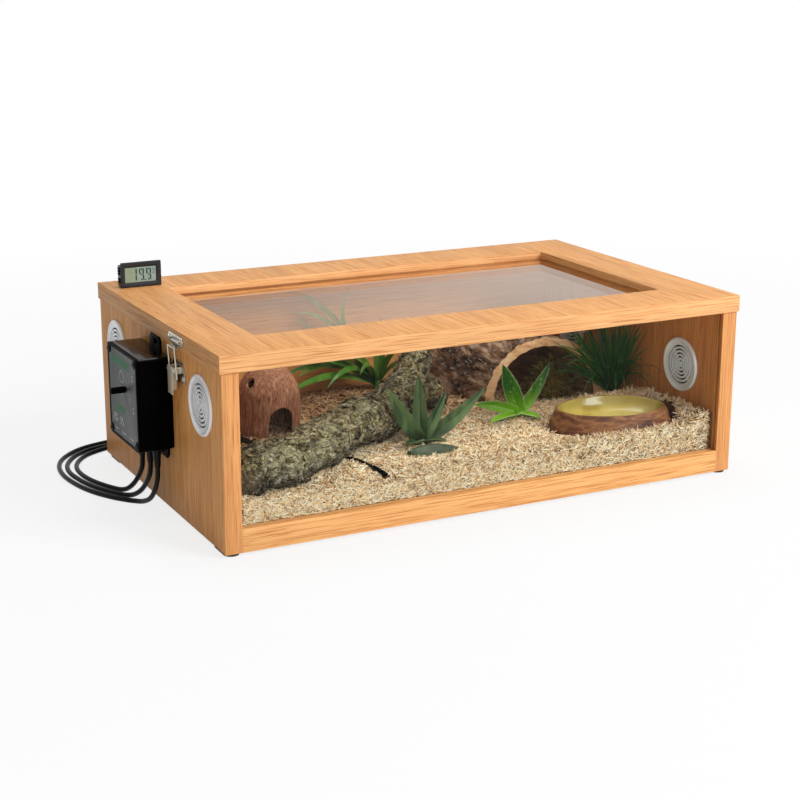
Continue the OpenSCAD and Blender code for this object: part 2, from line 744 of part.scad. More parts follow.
module shell_body(r, h) {
    rotate_extrude($fn = 64) polygon(concat([[0, 0]], [for (k = [0 : 14]) shell_point(r, h, k)]));
}

module coconut_hide() {
    color([0.30, 0.16, 0.10]) translate([hide_x, hide_y, bed_top]) difference() {
        shell_body(hide_r, hide_h);
        translate([0, 0, -e]) shell_body(hide_r - hide_wall, hide_h - hide_wall);
        rotate([0, 0, hide_door_turn]) {
            translate([0, 0, hide_door_h - hide_door_w / 2]) rod_x(hide_door_w / 2, hide_r + 5);
            translate([0, -hide_door_w / 2, -1])
                cube([hide_r + 5, hide_door_w, hide_door_h - hide_door_w / 2 + 1]);
        }
        rotate([0, 0, hide_door_turn - 68]) translate([0, 0, hide_h * 0.57]) rotate([0, -28, 0])
            rod_x(hide_hole_r, hide_r + 5);
    }
}

// Bark-covered tube: the radius varies with knots and ridges
function bumpy(r, a, i) = r * (1 + 0.045 * sin(3 * a + 53 * i) + 0.03 * sin(5 * a - 31 * i));

module branch(points, steps) {
    axis = curve([for (p = points) xyz(p)], steps);
    radii = curve([for (p = points) [p[3]]], steps);
    h = headings(axis);
    u = carried(h, [0.1, -0.3, 1]);
    skin([for (i = [0 : len(axis) - 1]) let (end = i == 0 || i == len(axis) - 1 ? 0.93 : 1)
        [for (j = [0 : log_sides - 1]) let (a = 360 * j / log_sides, r = end * bumpy(radii[i][0], a, i))
        axis[i] + r * (cos(a) * u[i] + sin(a) * cross(h[i], u[i]))]]);
}

module cork_log() {
    color([0.36, 0.37, 0.22]) translate(log_corner) {
        branch(log_points, 2);
        branch(fork_points, 2);
    }
}

// One cross-section of the arch: out along the bark and back along the hollow
function arch_point(c, half, h, a, t) = let (n = norm(half), k = (n - t) / n)
    [c[0] + half[0] * k * cos(a), c[1] + half[1] * k * cos(a), (h - t) * sin(a)];
function bark(a, s) = 1.6 * sin(7 * a + 200 * s) + 1.1 * sin(11 * a - 90 * s);
function arch_section(s) = let (c = mix(arch_front, arch_rear, s),
    half = mix(arch_front_half, arch_rear_half, s), h = mix(arch_front_h, arch_rear_h, s))
    concat([for (k = [0 : arch_steps]) arch_point(c, half, h, 180 - 180 * k / arch_steps,
        bark(180 * k / arch_steps, s) + 2)],
        [for (k = [arch_steps : -1 : 0]) arch_point(c, half, h, 180 - 180 * k / arch_steps, arch_wall + 2)]);

// Triangles that close the arch at its two ends, from the bark across to the hollow
arch_n = 2 * arch_steps + 2;
arch_end = [for (j = [0 : arch_steps - 1])
    each [[j, j + 1, arch_n - 2 - j], [j, arch_n - 2 - j, arch_n - 1 - j]]];

module cork_arch() {
    color([0.42, 0.28, 0.20]) translate(arch_corner)
        skin([for (i = [0 : arch_stations]) arch_section(i / arch_stations)], arch_end);
}

// A crown that the leaves grow from
module crown(r, h) {
    cylinder(r1 = r, r2 = r * 0.6, h = h, $fn = 24);
}

module spider_plant() {
    tips = [[-162, -20, 34, 26, 12], [-132, -34, 7, 38, 13], [-98, -10, 70, 40, 11], [-84, -4, 122, 40, 9],
        [-30, 6, 134, 10, 9], [22, -8, 92, 30, 9], [-62, -30, 50, 34, 13], [46, 2, 62, 26, 9],
        [-76, 8, 96, 30, 10], [6, -30, 70, 20, 10], [-20, -36, 90, 16, 11], [-88, -44, 22, 46, 11]];
    color(leaf_green) translate(spider_at) {
        crown(8, 12);
        for (t = tips) {
            leaf([0, 0, 5], [t[0], t[1], t[2]], t[3], t[4], 1.6);
        }
    }
}

module aloe_front() {
    tips = [[-38, -8, 70, -6, 18], [-3, -9, 80, -2, 16], [31, -5, 57, -8, 12], [74, -6, 54, -10, 14],
        [-34, -34, 8, 6, 16], [24, -36, 6, 6, 15]];
    color([0.10, 0.28, 0.16]) translate(aloe_front_at) {
        crown(9, 8);
        for (t = tips) {
            leaf([0, 0, 4.5], [t[0], t[1], t[2]], t[3], t[4], 5, facing = t[2] > 20 ? [-0.45, -0.89, 0.1] : [0, 0, 1]);
        }
    }
}

module aloe_middle() {
    tips = [[-27, -4, 66, 4, 21], [38, -4, 62, -8, 12], [-58, 0, 24, 6, 13], [-56, -24, 8, 5, 15],
        [8, -30, 6, 4, 15]];
    color([0.10, 0.40, 0.12]) translate(aloe_middle_at) {
        crown(9, 8);
        for (t = tips) {
            leaf([0, 0, 4.5], [t[0], t[1], t[2]], t[3], t[4], 5, facing = t[2] > 20 ? [-0.45, -0.89, 0.1] : [0, 0, 1]);
        }
    }
}

// A tuft of thin blades that fan out and droop
module grass_plant() {
    blades = 24;
    color([0.10, 0.34, 0.12]) translate(grass_at) resize([0, 0, grass_h]) {
        crown(5, 9);
        for (k = [0 : blades - 1]) {
            a = 137.5 * k;
            spread = 13 + 14 * ((k * 7) % 5) / 4;
            h = 88 - 34 * ((k * 3) % 7) / 6;
            lean = cos(a) > 0 ? 0.4 : 1.1;
            leaf([0, 0, 5], [spread * lean * cos(a), spread * sin(a), h], 12, 2.6, 1, 4);
        }
        leaf([0, 0, 5], [-64, -6, 66], 40, 2.6, 1, 5);
        leaf([0, 0, 5], [-52, -22, 38], 40, 2.6, 1, 5);
        leaf([0, 0, 5], [10, -80, 34], 40, 2.6, 1, 5);
    }
}

// A low mound of dry moss under the arch
module moss_clump() {
    at = [inner_x - 79, back_inner_y - 140, bed_top];
    color([0.33, 0.34, 0.12]) translate(at) skin([for (i = [0 : 5]) let (s = [1, 0.97, 0.86, 0.64, 0.36, 0.1][i])
        [for (j = [0 : 15]) let (a = 22.5 * j, r = s * (1 + 0.08 * sin(3 * a + 40 * i)))
        [moss_rx * r * cos(a), moss_ry * r * sin(a), moss_h * [0, 0.26, 0.52, 0.77, 0.93, 1][i]]]]);
}

// ---------------------------------------------------------------- control box
// Draws a flat shape, given across Y and up Z, as a plate from x0 to x1
module plate_x(x0, x1) {
    translate([x0, 0, 0]) rotate([90, 0, 90]) linear_extrude(x1 - x0) children();
}

module box_outline(shrink) {
    translate([box_y, box_z + box_h / 2])
        rounded_rect(box_w - 2 * shrink, box_h - 2 * shrink, max(1, box_corner - shrink));
}

// A tab that runs up from z0 to z1 and whose two far corners are cut
module tab_outline(z0, z1, cut) {
    polygon([[-tab_w / 2, z0], [tab_w / 2, z0], [tab_w / 2, z1 - cut], [tab_w / 2 - cut, z1],
        [-tab_w / 2 + cut, z1], [-tab_w / 2, z1 - cut]]);
}

module thermostat_bracket() {
    cut = 5;
    up = tab_up + box_z + box_h;
    down = box_z - tab_down;
    color(black) difference() {
        union() {
            block(-half_w - bracket_t, -half_w, box_y - box_w / 2 - bracket_edge, box_y + box_w / 2 + bracket_edge,
                box_z + 2, box_z + box_h - 2);
            plate_x(-half_w - bracket_t, -half_w) translate([bracket_screw_y_up, 0])
                tab_outline(box_z + box_h - 10, up, cut);
            plate_x(-half_w - bracket_t, -half_w) translate([bracket_screw_y_down, box_z + 10]) rotate(180)
                tab_outline(0, box_z + 10 - down, cut);
        }
        for (p = [[bracket_screw_y_up, bracket_screw_z_up], [bracket_screw_y_down, bracket_screw_z_down]]) {
            translate([-half_w - bracket_t - e, p[0], p[1]]) rod_x(screw_d / 2 + 0.15, bracket_t + 2 * e);
        }
    }
}

// The four corner posts that take the cover's screws
module at_cover_screws() {
    for (sy = [-1, 1], sz = [-1, 1]) {
        translate([0, box_y + sy * (box_w / 2 - cover_screw_inset),
            box_z + box_h / 2 + sz * (box_h / 2 - cover_screw_inset)]) children();
    }
}

module thermostat_case() {
    post_l = 11;
    color(black) difference() {
        union() {
            difference() {
                plate_x(cover_back_x, case_back_x) box_outline(0);
                plate_x(cover_back_x - e, case_back_x - box_wall) box_outline(box_wall);
            }
            intersection() {
                at_cover_screws() translate([cover_back_x, 0, 0]) rod_x(cover_post_r, post_l);
                plate_x(cover_back_x, case_back_x) box_outline(0);
            }
        }
        at_cover_screws() translate([cover_back_x - e, 0, 0]) rod_x(screw_d / 2, cover_screw_l - cover_t + e);
        for (y = lead_ys) {
            translate([lead_x, y, box_z - e]) cylinder(r = relief_top_r, h = box_wall + 2 * e);
        }
    }
}

module thermostat_cover() {
    recess = 0.6;
    color(fascia_grey) difference() {
        plate_x(box_face_x, cover_back_x) box_outline(0);
        // The label's sunk field, whose corners are cut round the screws
        plate_x(box_face_x - e, box_face_x + recess) difference() {
            box_outline(2.5);
            for (sy = [-1, 1], sz = [-1, 1]) {
                translate([box_y + sy * (box_w / 2 - cover_screw_inset),
                    box_z + box_h / 2 + sz * (box_h / 2 - cover_screw_inset)]) circle(cover_post_r + 1);
            }
        }
        at_cover_screws() translate([box_face_x - e, 0, 0]) rod_x(screw_d / 2, cover_t + 2 * e);
        translate([box_face_x - e, knob_y, knob_z]) rod_x(knob_shaft_r + 0.4, cover_t + 2 * e);
    }
}

// Circuit board on the case's back wall, with the setting control's can and bush
module thermostat_circuit_board() {
    board_back = case_back_x - box_wall - 6;
    can_front = cover_back_x + 1;
    color([0.08, 0.28, 0.14]) difference() {
        union() {
            block(board_back - board_thick, board_back, box_y - box_w / 2 + 14, box_y + box_w / 2 - 14,
                box_z + 14, box_z + box_h - 8);
            for (y = [box_y - 26, box_y + 26], z = [box_z + 24, box_z + box_h - 20]) {
                translate([board_back - e, y, z]) rod_x(2.5, 6 + e);
            }
            translate([can_front, knob_y, knob_z]) rod_x(pot_d, board_back - can_front - board_thick / 2);
        }
        translate([can_front - e, knob_y, knob_z]) rod_x(knob_shaft_r + knob_play, 8);
    }
}

// The knob's shaft runs through the cover into the setting control
module thermostat_knob() {
    knob_back = box_face_x - knob_gap;
    color(black) translate([0, knob_y, knob_z]) {
        difference() {
            translate([knob_back - knob_l, 0, 0]) rod_x(knob_d / 2, knob_l);
            translate([knob_back - knob_l - e, 0, knob_d / 2]) rotate([0, 90, 0])
                cylinder(d = 1.2, h = knob_l * 0.7);
            for (k = [1 : 15]) {
                rotate([22.5 * k, 0, 0]) translate([knob_back - knob_l - e, 0, knob_d / 2])
                    rotate([0, 90, 0]) cylinder(d = 0.5, h = knob_l - 2, $fn = 16);
            }
        }
        translate([knob_back - e, 0, 0]) rod_x(knob_shaft_r, cover_back_x + 7 - knob_back);
    }
}

module cover_screws() {
    color(nickel) at_cover_screws() translate([box_face_x, 0, 0]) mirror([1, 0, 0])
        screw_x(l = cover_screw_l, head = 5.4);
}

// A tapered strain relief under the box: it fills its hole in the box's wall
module strain_relief(y, d) {
    color(black) translate([lead_x, y, 0]) {
        translate([0, 0, box_z]) cylinder(r = relief_top_r - 0.05, h = box_wall);
        translate([0, 0, box_z + box_wall]) cylinder(r = relief_top_r + 0.8, h = relief_collar);
        translate([0, 0, box_z - 3]) cylinder(r = relief_top_r, h = 3);
        translate([0, 0, lead_top]) cylinder(r1 = d / 2 + 0.5, r2 = relief_top_r - 0.6, h = relief_l - 3);
    }
}

module mains_strain_relief() { strain_relief(lead_ys[0], lead_d); }
module heater_strain_relief() { strain_relief(lead_ys[1], lead_d); }
module sensor_strain_relief() { strain_relief(lead_ys[2], lead_d); }

// ---------------------------------------------------------------- screws into the boards
module cabinet_screws() {
    color(nickel) {
        for (side = [-1, 1], s = [-1, 1]) {
            on_wall(side) translate([plate_t, latch_y + s * base_screw_y, latch_z + base_screw_z]) screw_x();
        }
        on_wall(-1) translate([bracket_t, bracket_screw_y_up, bracket_screw_z_up]) screw_x();
        on_wall(-1) translate([bracket_t, bracket_screw_y_down, bracket_screw_z_down]) screw_x();
        hinge_screws(-1);
    }
}

hinge_screw_l = 7;
hinge_screw_head = 5;

module hinge_screws(dir) {
    for (h = [-1, 1], s = [-1, 1]) {
        translate([h * hinge_pitch / 2 + s * leaf_screw_x, back_y + leaf_t, hinge_z + dir * leaf_screw_z])
            rotate([0, 0, 90]) screw_x(l = hinge_screw_l, head = hinge_screw_head, head_h = 1.2);
    }
}

module lid_screws() {
    color(nickel) {
        hinge_screws(1);
        for (side = [-1, 1], s = [-1, 1]) {
            on_wall(side) translate([lid_side_overhang + plate_t, latch_y + s * keeper_screw_y,
                latch_z + keeper_z + keeper_h / 2]) screw_x(head = 5.4);
        }
    }
}

// ---------------------------------------------------------------- latches
// Draws a latch piece in its own frame: +X out of the wall, origin at the pivot's height
module at_latch(side) {
    on_wall(side) translate([0, latch_y, latch_z]) children();
}

module latch_base() {
    color(nickel) difference() {
        union() {
            plate_x(0, plate_t) polygon([[-20.5, -13], [20.5, -13], [20.5, -3], [13, 9], [-13, 9], [-20.5, -3]]);
            for (s = [-1, 1]) {
                translate([0, s * (lug_in + lug_t / 2), 0]) {
                    translate([pivot_out, 0, 0]) rod_y(lug_r, lug_t);
                    translate([pivot_out / 2, 0, 0]) cube([pivot_out, lug_t, 2 * lug_r], center = true);
                }
            }
            translate([pivot_out, 0, 0]) rod_y(pivot_r, 2 * (lug_in + lug_t) + 0.8);
        }
        for (s = [-1, 1]) {
            translate([-e, s * base_screw_y, base_screw_z]) rod_x(screw_d / 2, plate_t + 2 * e);
        }
    }
}

module latch_lever() {
    head = 4;
    flange_back = 5.2;
    color(nickel) difference() {
        union() {
            for (s = [-1, 1]) {
                translate([flange_back, s * (flange_in + flange_t / 2) - flange_t / 2, -lever_l + 4])
                    cube([lever_face_out - flange_back + e, flange_t, lever_l - 4 + head - 0.5]);
            }
            translate([lever_face_out, -flange_in - flange_t, -lever_l])
                cube([plate_t, 2 * (flange_in + flange_t), lever_l + head]);
            translate([lever_face_out + plate_t / 2, 0, -lever_l]) rod_y(plate_t * 0.8, 2 * (flange_in + flange_t));
        }
        translate([pivot_out, 0, 0]) rod_y(pivot_r + pivot_play, 30);
        translate([bail_out, 0, -bail_drop]) rod_y(wire_d / 2 + pivot_play, 30);
    }
}

module latch_bail() {
    rise = crossbar_z + bail_drop;
    lean = atan((crossbar_out - bail_out) / rise);
    length = norm([crossbar_out - bail_out, rise]);
    r = wire_d / 2;
    color(nickel) translate([bail_out, 0, -bail_drop]) rotate([0, lean, 0]) {
        for (s = [-1, 1]) {
            translate([0, s * bail_half, 0]) {
                cylinder(r = r, h = length);
                sphere(r);
                translate([0, 0, length]) sphere(r);
            }
            translate([0, s * (bail_half + flange_in - 0.4) / 2, 0]) rod_y(r, bail_half - flange_in + 0.4);
        }
        translate([0, 0, length]) rod_y(r, 2 * bail_half);
    }
}

module latch_keeper() {
    back = lid_side_overhang;
    color(nickel) translate([back, 0, 0]) difference() {
        union() {
            plate_x(0, plate_t) translate([0, keeper_z + keeper_h / 2])
                rounded_rect(2 * keeper_half, keeper_h, keeper_h / 2 - e);
            plate_x(0, plate_t) translate([-hook_half, hook_bottom])
                square([2 * hook_half, keeper_z + 1 - hook_bottom]);
            translate([0, -hook_half, hook_bottom])
                cube([hook_floor_out - back, 2 * hook_half, plate_t]);
            translate([hook_floor_out - back - plate_t, -hook_half, hook_bottom])
                cube([plate_t, 2 * hook_half, keeper_lip_h]);
        }
        for (s = [-1, 1]) {
            translate([-e, s * keeper_screw_y, keeper_z + keeper_h / 2]) rod_x(screw_d / 2, plate_t + 2 * e);
        }
    }
}

module latch_base_left() { at_latch(-1) latch_base(); }
module latch_base_right() { at_latch(1) latch_base(); }
module latch_lever_left() { at_latch(-1) latch_lever(); }
module latch_lever_right() { at_latch(1) latch_lever(); }
module latch_bail_left() { at_latch(-1) latch_bail(); }
module latch_bail_right() { at_latch(1) latch_bail(); }
module latch_keeper_left() { at_latch(-1) latch_keeper(); }
module latch_keeper_right() { at_latch(1) latch_keeper(); }

// ---------------------------------------------------------------- hinges
// One leaf: dir is -1 for the leaf on the back panel and 1 for the leaf on the lid
module hinge_leaf(x, dir) {
    seg = hinge_w / 3;
    starts = dir < 0 ? [-1.5 * seg, 0.5 * seg] : [-0.5 * seg];
    color(nickel) translate([x, 0, 0]) difference() {
        union() {
            block(-hinge_w / 2, hinge_w / 2, back_y, back_y + leaf_t,
                dir < 0 ? hinge_z - hinge_leaf_h : hinge_z + leaf_start,
                dir < 0 ? hinge_z - leaf_start : hinge_z + hinge_leaf_h);
            for (s = starts) {
                gap0 = s > -1.4 * seg ? knuckle_gap / 2 : 0;
                gap1 = s < 0.4 * seg ? knuckle_gap / 2 : 0;
                translate([s + gap0, hinge_y, hinge_z]) rod_x(knuckle_r, seg - gap0 - gap1);
                block(s + gap0, s + seg - gap1, back_y + 0.2, back_y + leaf_t,
                    dir < 0 ? hinge_z - leaf_start - 1 : hinge_z, dir < 0 ? hinge_z : hinge_z + leaf_start + 1);
            }
        }
        translate([-hinge_w, hinge_y, hinge_z]) rod_x(dir < 0 ? hinge_pin_r - 0.01 : hinge_pin_r + 0.05,
            2 * hinge_w);
        for (s = [-1, 1]) {
            translate([s * leaf_screw_x, back_y - e, hinge_z + dir * leaf_screw_z]) rotate([0, 0, 90])
                rod_x(screw_d / 2, leaf_t + 2 * e);
        }
    }
    if (dir < 0) {
        color(nickel) translate([x - hinge_w / 2, hinge_y, hinge_z]) rod_x(hinge_pin_r, hinge_w);
    }
}

module hinge_lower_left() { hinge_leaf(-hinge_pitch / 2, -1); }
module hinge_lower_right() { hinge_leaf(hinge_pitch / 2, -1); }
module hinge_upper_left() { hinge_leaf(-hinge_pitch / 2, 1); }
module hinge_upper_right() { hinge_leaf(hinge_pitch / 2, 1); }

// ---------------------------------------------------------------- lid
module lid_board() {
    color(wood_top) difference() {
        block(-lid_w / 2, lid_w / 2, -lid_d / 2, lid_d / 2, wall_top, lid_top);
        block(-opening_x, opening_x, -opening_y, opening_y, wall_top - e, lid_top + e);
        block(-opening_x - rebate_w, opening_x + rebate_w, -opening_y - rebate_w, opening_y + rebate_w,
            wall_top - e, lid_glass_top);
        for (side = [-1, 1], s = [-1, 1]) {
            on_wall(side) translate([lid_side_overhang + plate_t - screw_l, latch_y + s * keeper_screw_y,
                latch_z + keeper_z + keeper_h / 2]) rod_x(screw_d / 2, screw_l);
        }
        for (h = [-1, 1], s = [-1, 1]) {
            translate([h * hinge_pitch / 2 + s * leaf_screw_x, back_y + leaf_t, hinge_z + leaf_screw_z])
                rotate([0, 0, 90]) translate([-hinge_screw_l, 0, 0]) rod_x(screw_d / 2, hinge_screw_l);
        }
    }
}

module lid_glass() {
    gx = opening_x + rebate_w - glass_play;
    gy = opening_y + rebate_w - glass_play;
    color(glass_tint) block(-gx, gx, -gy, gy, lid_glass_z, lid_glass_top);
}

// Four strips that hold the lid glass up in its rebate
module glazing_beads() {
    gx = opening_x + rebate_w;
    gy = opening_y + rebate_w;
    color(wood_edge) difference() {
        block(-gx, gx, -gy, gy, wall_top, lid_glass_z);
        block(-gx + bead_w, gx - bead_w, -gy + bead_w, gy - bead_w, wall_top - e, lid_glass_z + e);
    }
}

// ---------------------------------------------------------------- thermometer
module meter_plate(w, h, r, y0, y1) {
    translate([meter_x, y1, lid_top + meter_h / 2]) rotate([90, 0, 0]) linear_extrude(y1 - y0)
        rounded_rect(w, h, r);
}

module thermometer_body() {
    depth = meter_d;
    color([0.12, 0.13, 0.15]) difference() {
        union() {
            meter_plate(meter_w, meter_h, 1.2, meter_y, meter_y + meter_bezel);
            meter_plate(meter_w - 2 * meter_step, meter_h - 2 * meter_step, 0.8,
                meter_y + meter_bezel - e, meter_y + depth);
            // Snap ribs on the two short sides
            for (s = [-1, 1], k = [0 : 2]) {
                translate([meter_x + s * (meter_w / 2 - meter_step), meter_y + 4 + 2.4 * k,
                    lid_top + meter_h / 2]) cube([2.2, 1.2, meter_h * 0.62], center = true);
            }
        }
        meter_plate(meter_glass_w + 4, meter_glass_h + 4, 0.6, meter_y - e, meter_y + 0.8);
        meter_plate(meter_glass_w, meter_glass_h, 0.3, meter_y - e, meter_y + 2);
    }
    // The foot that carries the bezel's smaller rear body
    color([0.12, 0.13, 0.15]) block(meter_x - meter_w / 2 + 6, meter_x + meter_w / 2 - 6,
        meter_y + meter_bezel, meter_y + depth, lid_top, lid_top + meter_step + 0.4);
}

module thermometer_display() {
    color([0.62, 0.67, 0.58]) meter_plate(meter_glass_w, meter_glass_h, 0.3, meter_y + 1, meter_y + 2);
}

// ---------------------------------------------------------------- leads
module lead(route, d, sides) {
    color(black) tube(route, d, sides);
}

module mains_lead() { lead(mains_route, lead_d, 10); }
module heater_lead() { lead(heater_route, lead_d, 10); }
module sensor_lead() { lead(sensor_route, lead_d, 10); }
module mains_lead_tail() { lead(tail_route, lead_d, 10); }
module inner_heater_lead() { lead(inner_heater_route, lead_d, 10); }
module inner_probe_lead() { lead(inner_probe_route, probe_lead_d, 8); }

// The stored turns: one helix that starts and ends beside the cabinet
function turn_point(k) = let (a = -90 + 360 * k / coil_rings)
    coil_at + [coil_r * cos(a), coil_r * sin(a), coil_pitch * k / coil_rings];
coil_route = [for (k = [0 : coil_turns * coil_rings]) turn_point(k)];

module mains_lead_coil() {
    color(black) tube(coil_route, lead_d, 6);
}

// The least distance between neighbouring turns, less the lead's own thickness
coil_gap = min([for (k = [0 : coil_rings], m = [coil_rings - 3 : coil_rings + 3])
    norm(coil_route[k] - coil_route[k + m])]) - lead_d;
echo(coil_gap = coil_gap);

module mains_plug() {
    body_w = 48;
    body_l = 42;
    body_h = 16;
    neck_l = plug_at[1] - body_l / 2 - tail_route[len(tail_route) - 1][1];
    color(black) translate(plug_at) {
        linear_extrude(body_h) rounded_rect(body_w, body_l, 9);
        translate([0, 0, body_h - e]) linear_extrude(4) rounded_rect(body_w - 8, body_l - 8, 7);
        translate([0, -body_l / 2 + e, 8]) rotate([90, 0, 0]) cylinder(r1 = plug_r, r2 = 3.4, h = neck_l + e);
    }
    color(nickel) translate([plug_at[0], plug_at[1], body_h + 4 - e]) {
        translate([-11.1, -6, 9]) cube([6.3, 4, 18], center = true);
        translate([11.1, -6, 9]) cube([6.3, 4, 18], center = true);
        translate([0, 10, 11.5]) cube([4, 8, 23], center = true);
    }
}

// The in-line connector that ends the heater lead inside
module inner_connector() {
    color(black) translate([-195.5, -28, bed_top + bed_gap]) {
        difference() {
            translate([-7, -16, 0]) cube([14, 32, 9.4]);
            for (k = [0 : 3]) {
                translate([0, -9 + 4 * k, 9.4]) cube([16, 1.4, 1], center = true);
            }
        }
    }
}

module sensor_probe() {
    color([0.10, 0.09, 0.09]) translate([-114, -132, 48.9]) rotate([90, 0, 0]) {
        cylinder(d1 = 4.4, d2 = 5, h = 6);
        translate([0, 0, 6]) cylinder(d = 5, h = 20);
        translate([0, 0, 26]) sphere(2.5);
    }
}

left_side_panel();
right_side_panel();
back_panel();
floor_panel();
front_rail();
front_glass();
joint_dowels();
feet();
vent_grilles();
vent_liners();
cable_grommet();
substrate_bed();
water_dish();
coconut_hide();
cork_log();
cork_arch();
spider_plant();
aloe_front();
aloe_middle();
grass_plant();
moss_clump();
thermostat_bracket();
thermostat_case();
thermostat_cover();
thermostat_circuit_board();
thermostat_knob();
cover_screws();
mains_strain_relief();
heater_strain_relief();
sensor_strain_relief();
cabinet_screws();
latch_base_left();
latch_base_right();
latch_lever_left();
latch_lever_right();
latch_bail_left();
latch_bail_right();
latch_keeper_left();
latch_keeper_right();
hinge_lower_left();
hinge_lower_right();
hinge_upper_left();
hinge_upper_right();
lid_board();
lid_glass();
glazing_beads();
lid_screws();
thermometer_body();
thermometer_display();
mains_lead();
mains_lead_coil();
mains_lead_tail();
mains_plug();
heater_lead();
sensor_lead();
inner_heater_lead();
inner_connector();
inner_probe_lead();
sensor_probe();
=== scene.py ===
"""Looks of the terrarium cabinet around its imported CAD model.

Metres, +Z up, glass front at -Y. Pieces are built in millimetres, and MM turns them to metres.
"""

import json
import random
from math import copysign, cos, hypot, pi, radians, sin

import bmesh
import bpy
import numpy as np
from mathutils import Matrix, Vector, noise


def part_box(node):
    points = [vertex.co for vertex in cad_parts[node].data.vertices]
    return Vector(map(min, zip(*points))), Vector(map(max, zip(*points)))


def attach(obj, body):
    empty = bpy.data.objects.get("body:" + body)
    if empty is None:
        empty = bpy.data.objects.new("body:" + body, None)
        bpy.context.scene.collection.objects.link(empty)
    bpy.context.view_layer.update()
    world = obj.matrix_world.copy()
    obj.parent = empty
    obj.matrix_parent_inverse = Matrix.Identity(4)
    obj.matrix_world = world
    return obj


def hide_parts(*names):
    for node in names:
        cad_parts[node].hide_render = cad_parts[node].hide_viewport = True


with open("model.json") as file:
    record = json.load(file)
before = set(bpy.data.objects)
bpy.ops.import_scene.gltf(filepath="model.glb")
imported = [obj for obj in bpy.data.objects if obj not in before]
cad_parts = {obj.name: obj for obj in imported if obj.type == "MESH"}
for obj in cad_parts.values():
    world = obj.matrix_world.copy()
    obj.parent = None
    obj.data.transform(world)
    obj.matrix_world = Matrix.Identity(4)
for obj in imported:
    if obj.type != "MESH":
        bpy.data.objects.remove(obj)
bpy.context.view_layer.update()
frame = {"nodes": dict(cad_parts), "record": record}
NODES = frame["nodes"]
MM = 0.001


def put(name, data, body=None, replaces=(), slot=None):
    """A new object in the scene, with its body and the CAD nodes it replaces; its slot is not used.
    """
    obj = bpy.data.objects.new(name, data)
    bpy.context.scene.collection.objects.link(obj)
    if body:
        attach(obj, body)
    if replaces:
        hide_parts(*replaces)
    return obj


# ---------------- camera, fitted to the photo
YAW, PITCH, ROLL = radians(26.979), radians(15.739), radians(0.106)


def make_camera():
    data = bpy.data.cameras.new("camera")
    data.lens, data.sensor_width = 76.04, 36
    data.clip_start, data.clip_end = 0.05, 50
    camera = put("camera", data)
    turn = Matrix.Rotation(-YAW, 4, "Z") @ Matrix.Rotation(pi / 2 - PITCH, 4, "X")
    turn = turn @ Matrix.Rotation(ROLL, 4, "Z")
    camera.matrix_world = Matrix.Translation((-0.8521, -1.6407, 0.5955)) @ turn
    bpy.context.scene.camera = camera


make_camera()


# ---------------- materials
def linear(colour):
    """A screen colour in hex as linear light; any other value passes as it is."""
    if not isinstance(colour, str):
        return colour
    return tuple(v / 255 / 12.92 if v <= 10 else ((v / 255 + 0.055) / 1.055) ** 2.4
                 for v in bytes.fromhex(colour))


def toned(colour, *shares):
    """A linear colour with its channels multiplied, by one share or by three."""
    return tuple(c * share for c, share in zip(colour, shares * 3))


class Graph:
    """Short calls for the nodes of a material or a world."""

    def __init__(self, owner, bare=True):
        owner.use_nodes = True
        self.tree = owner.node_tree
        if bare:
            self.tree.nodes.clear()

    def feed(self, socket, value):
        """Give a socket another node's output, a number, a vector or a colour."""
        if isinstance(value, bpy.types.NodeSocket):
            self.tree.links.new(value, socket)
            return
        value = linear(value)
        socket.default_value = (*value, 1) if socket.type == "RGBA" and len(value) == 3 else value

    def add(self, kind, feeds=None, **settings):
        """A node with its settings, and what feeds its sockets, by name or number."""
        node = self.tree.nodes.new("ShaderNode" + kind)
        for key, value in settings.items():
            setattr(node, key, value)
        for key, value in (feeds or {}).items():
            self.feed(node.inputs[key], value)
        return node

    def calc(self, operation, *values):
        return self.add("Math", dict(enumerate(values)), operation=operation).outputs[0]

    def span(self, value, low, high, to_low=0.0, to_high=1.0, kind="SMOOTHSTEP"):
        """A value's way from low to high, as a way from to_low to to_high."""
        feeds = {"Value": value, "From Min": low, "From Max": high, "To Min": to_low,
                 "To Max": to_high}
        return self.add("MapRange", feeds, interpolation_type=kind).outputs["Result"]

    def axis(self, name):
        """One of the object's own coordinates."""
        vector = self.add("TexCoord").outputs["Object"]
        return self.add("SeparateXYZ", {0: vector}).outputs[name]

    def light_path(self):
        """Two switches: a ray from the camera, and that or one a pane mirrors or passes on."""
        path = self.add("LightPath").outputs
        seen = self.calc("MAXIMUM", path["Is Camera Ray"], path["Is Glossy Ray"])
        return path["Is Camera Ray"], self.calc("MAXIMUM", seen, path["Is Transmission Ray"])

    def show(self, output, share, first, second):
        """Two shaders, mixed by a share, as all that the graph gives."""
        feeds = {0: share, 1: first.outputs[0], 2: second.outputs[0]}
        self.add(output, {"Surface": self.add("MixShader", feeds).outputs[0]})


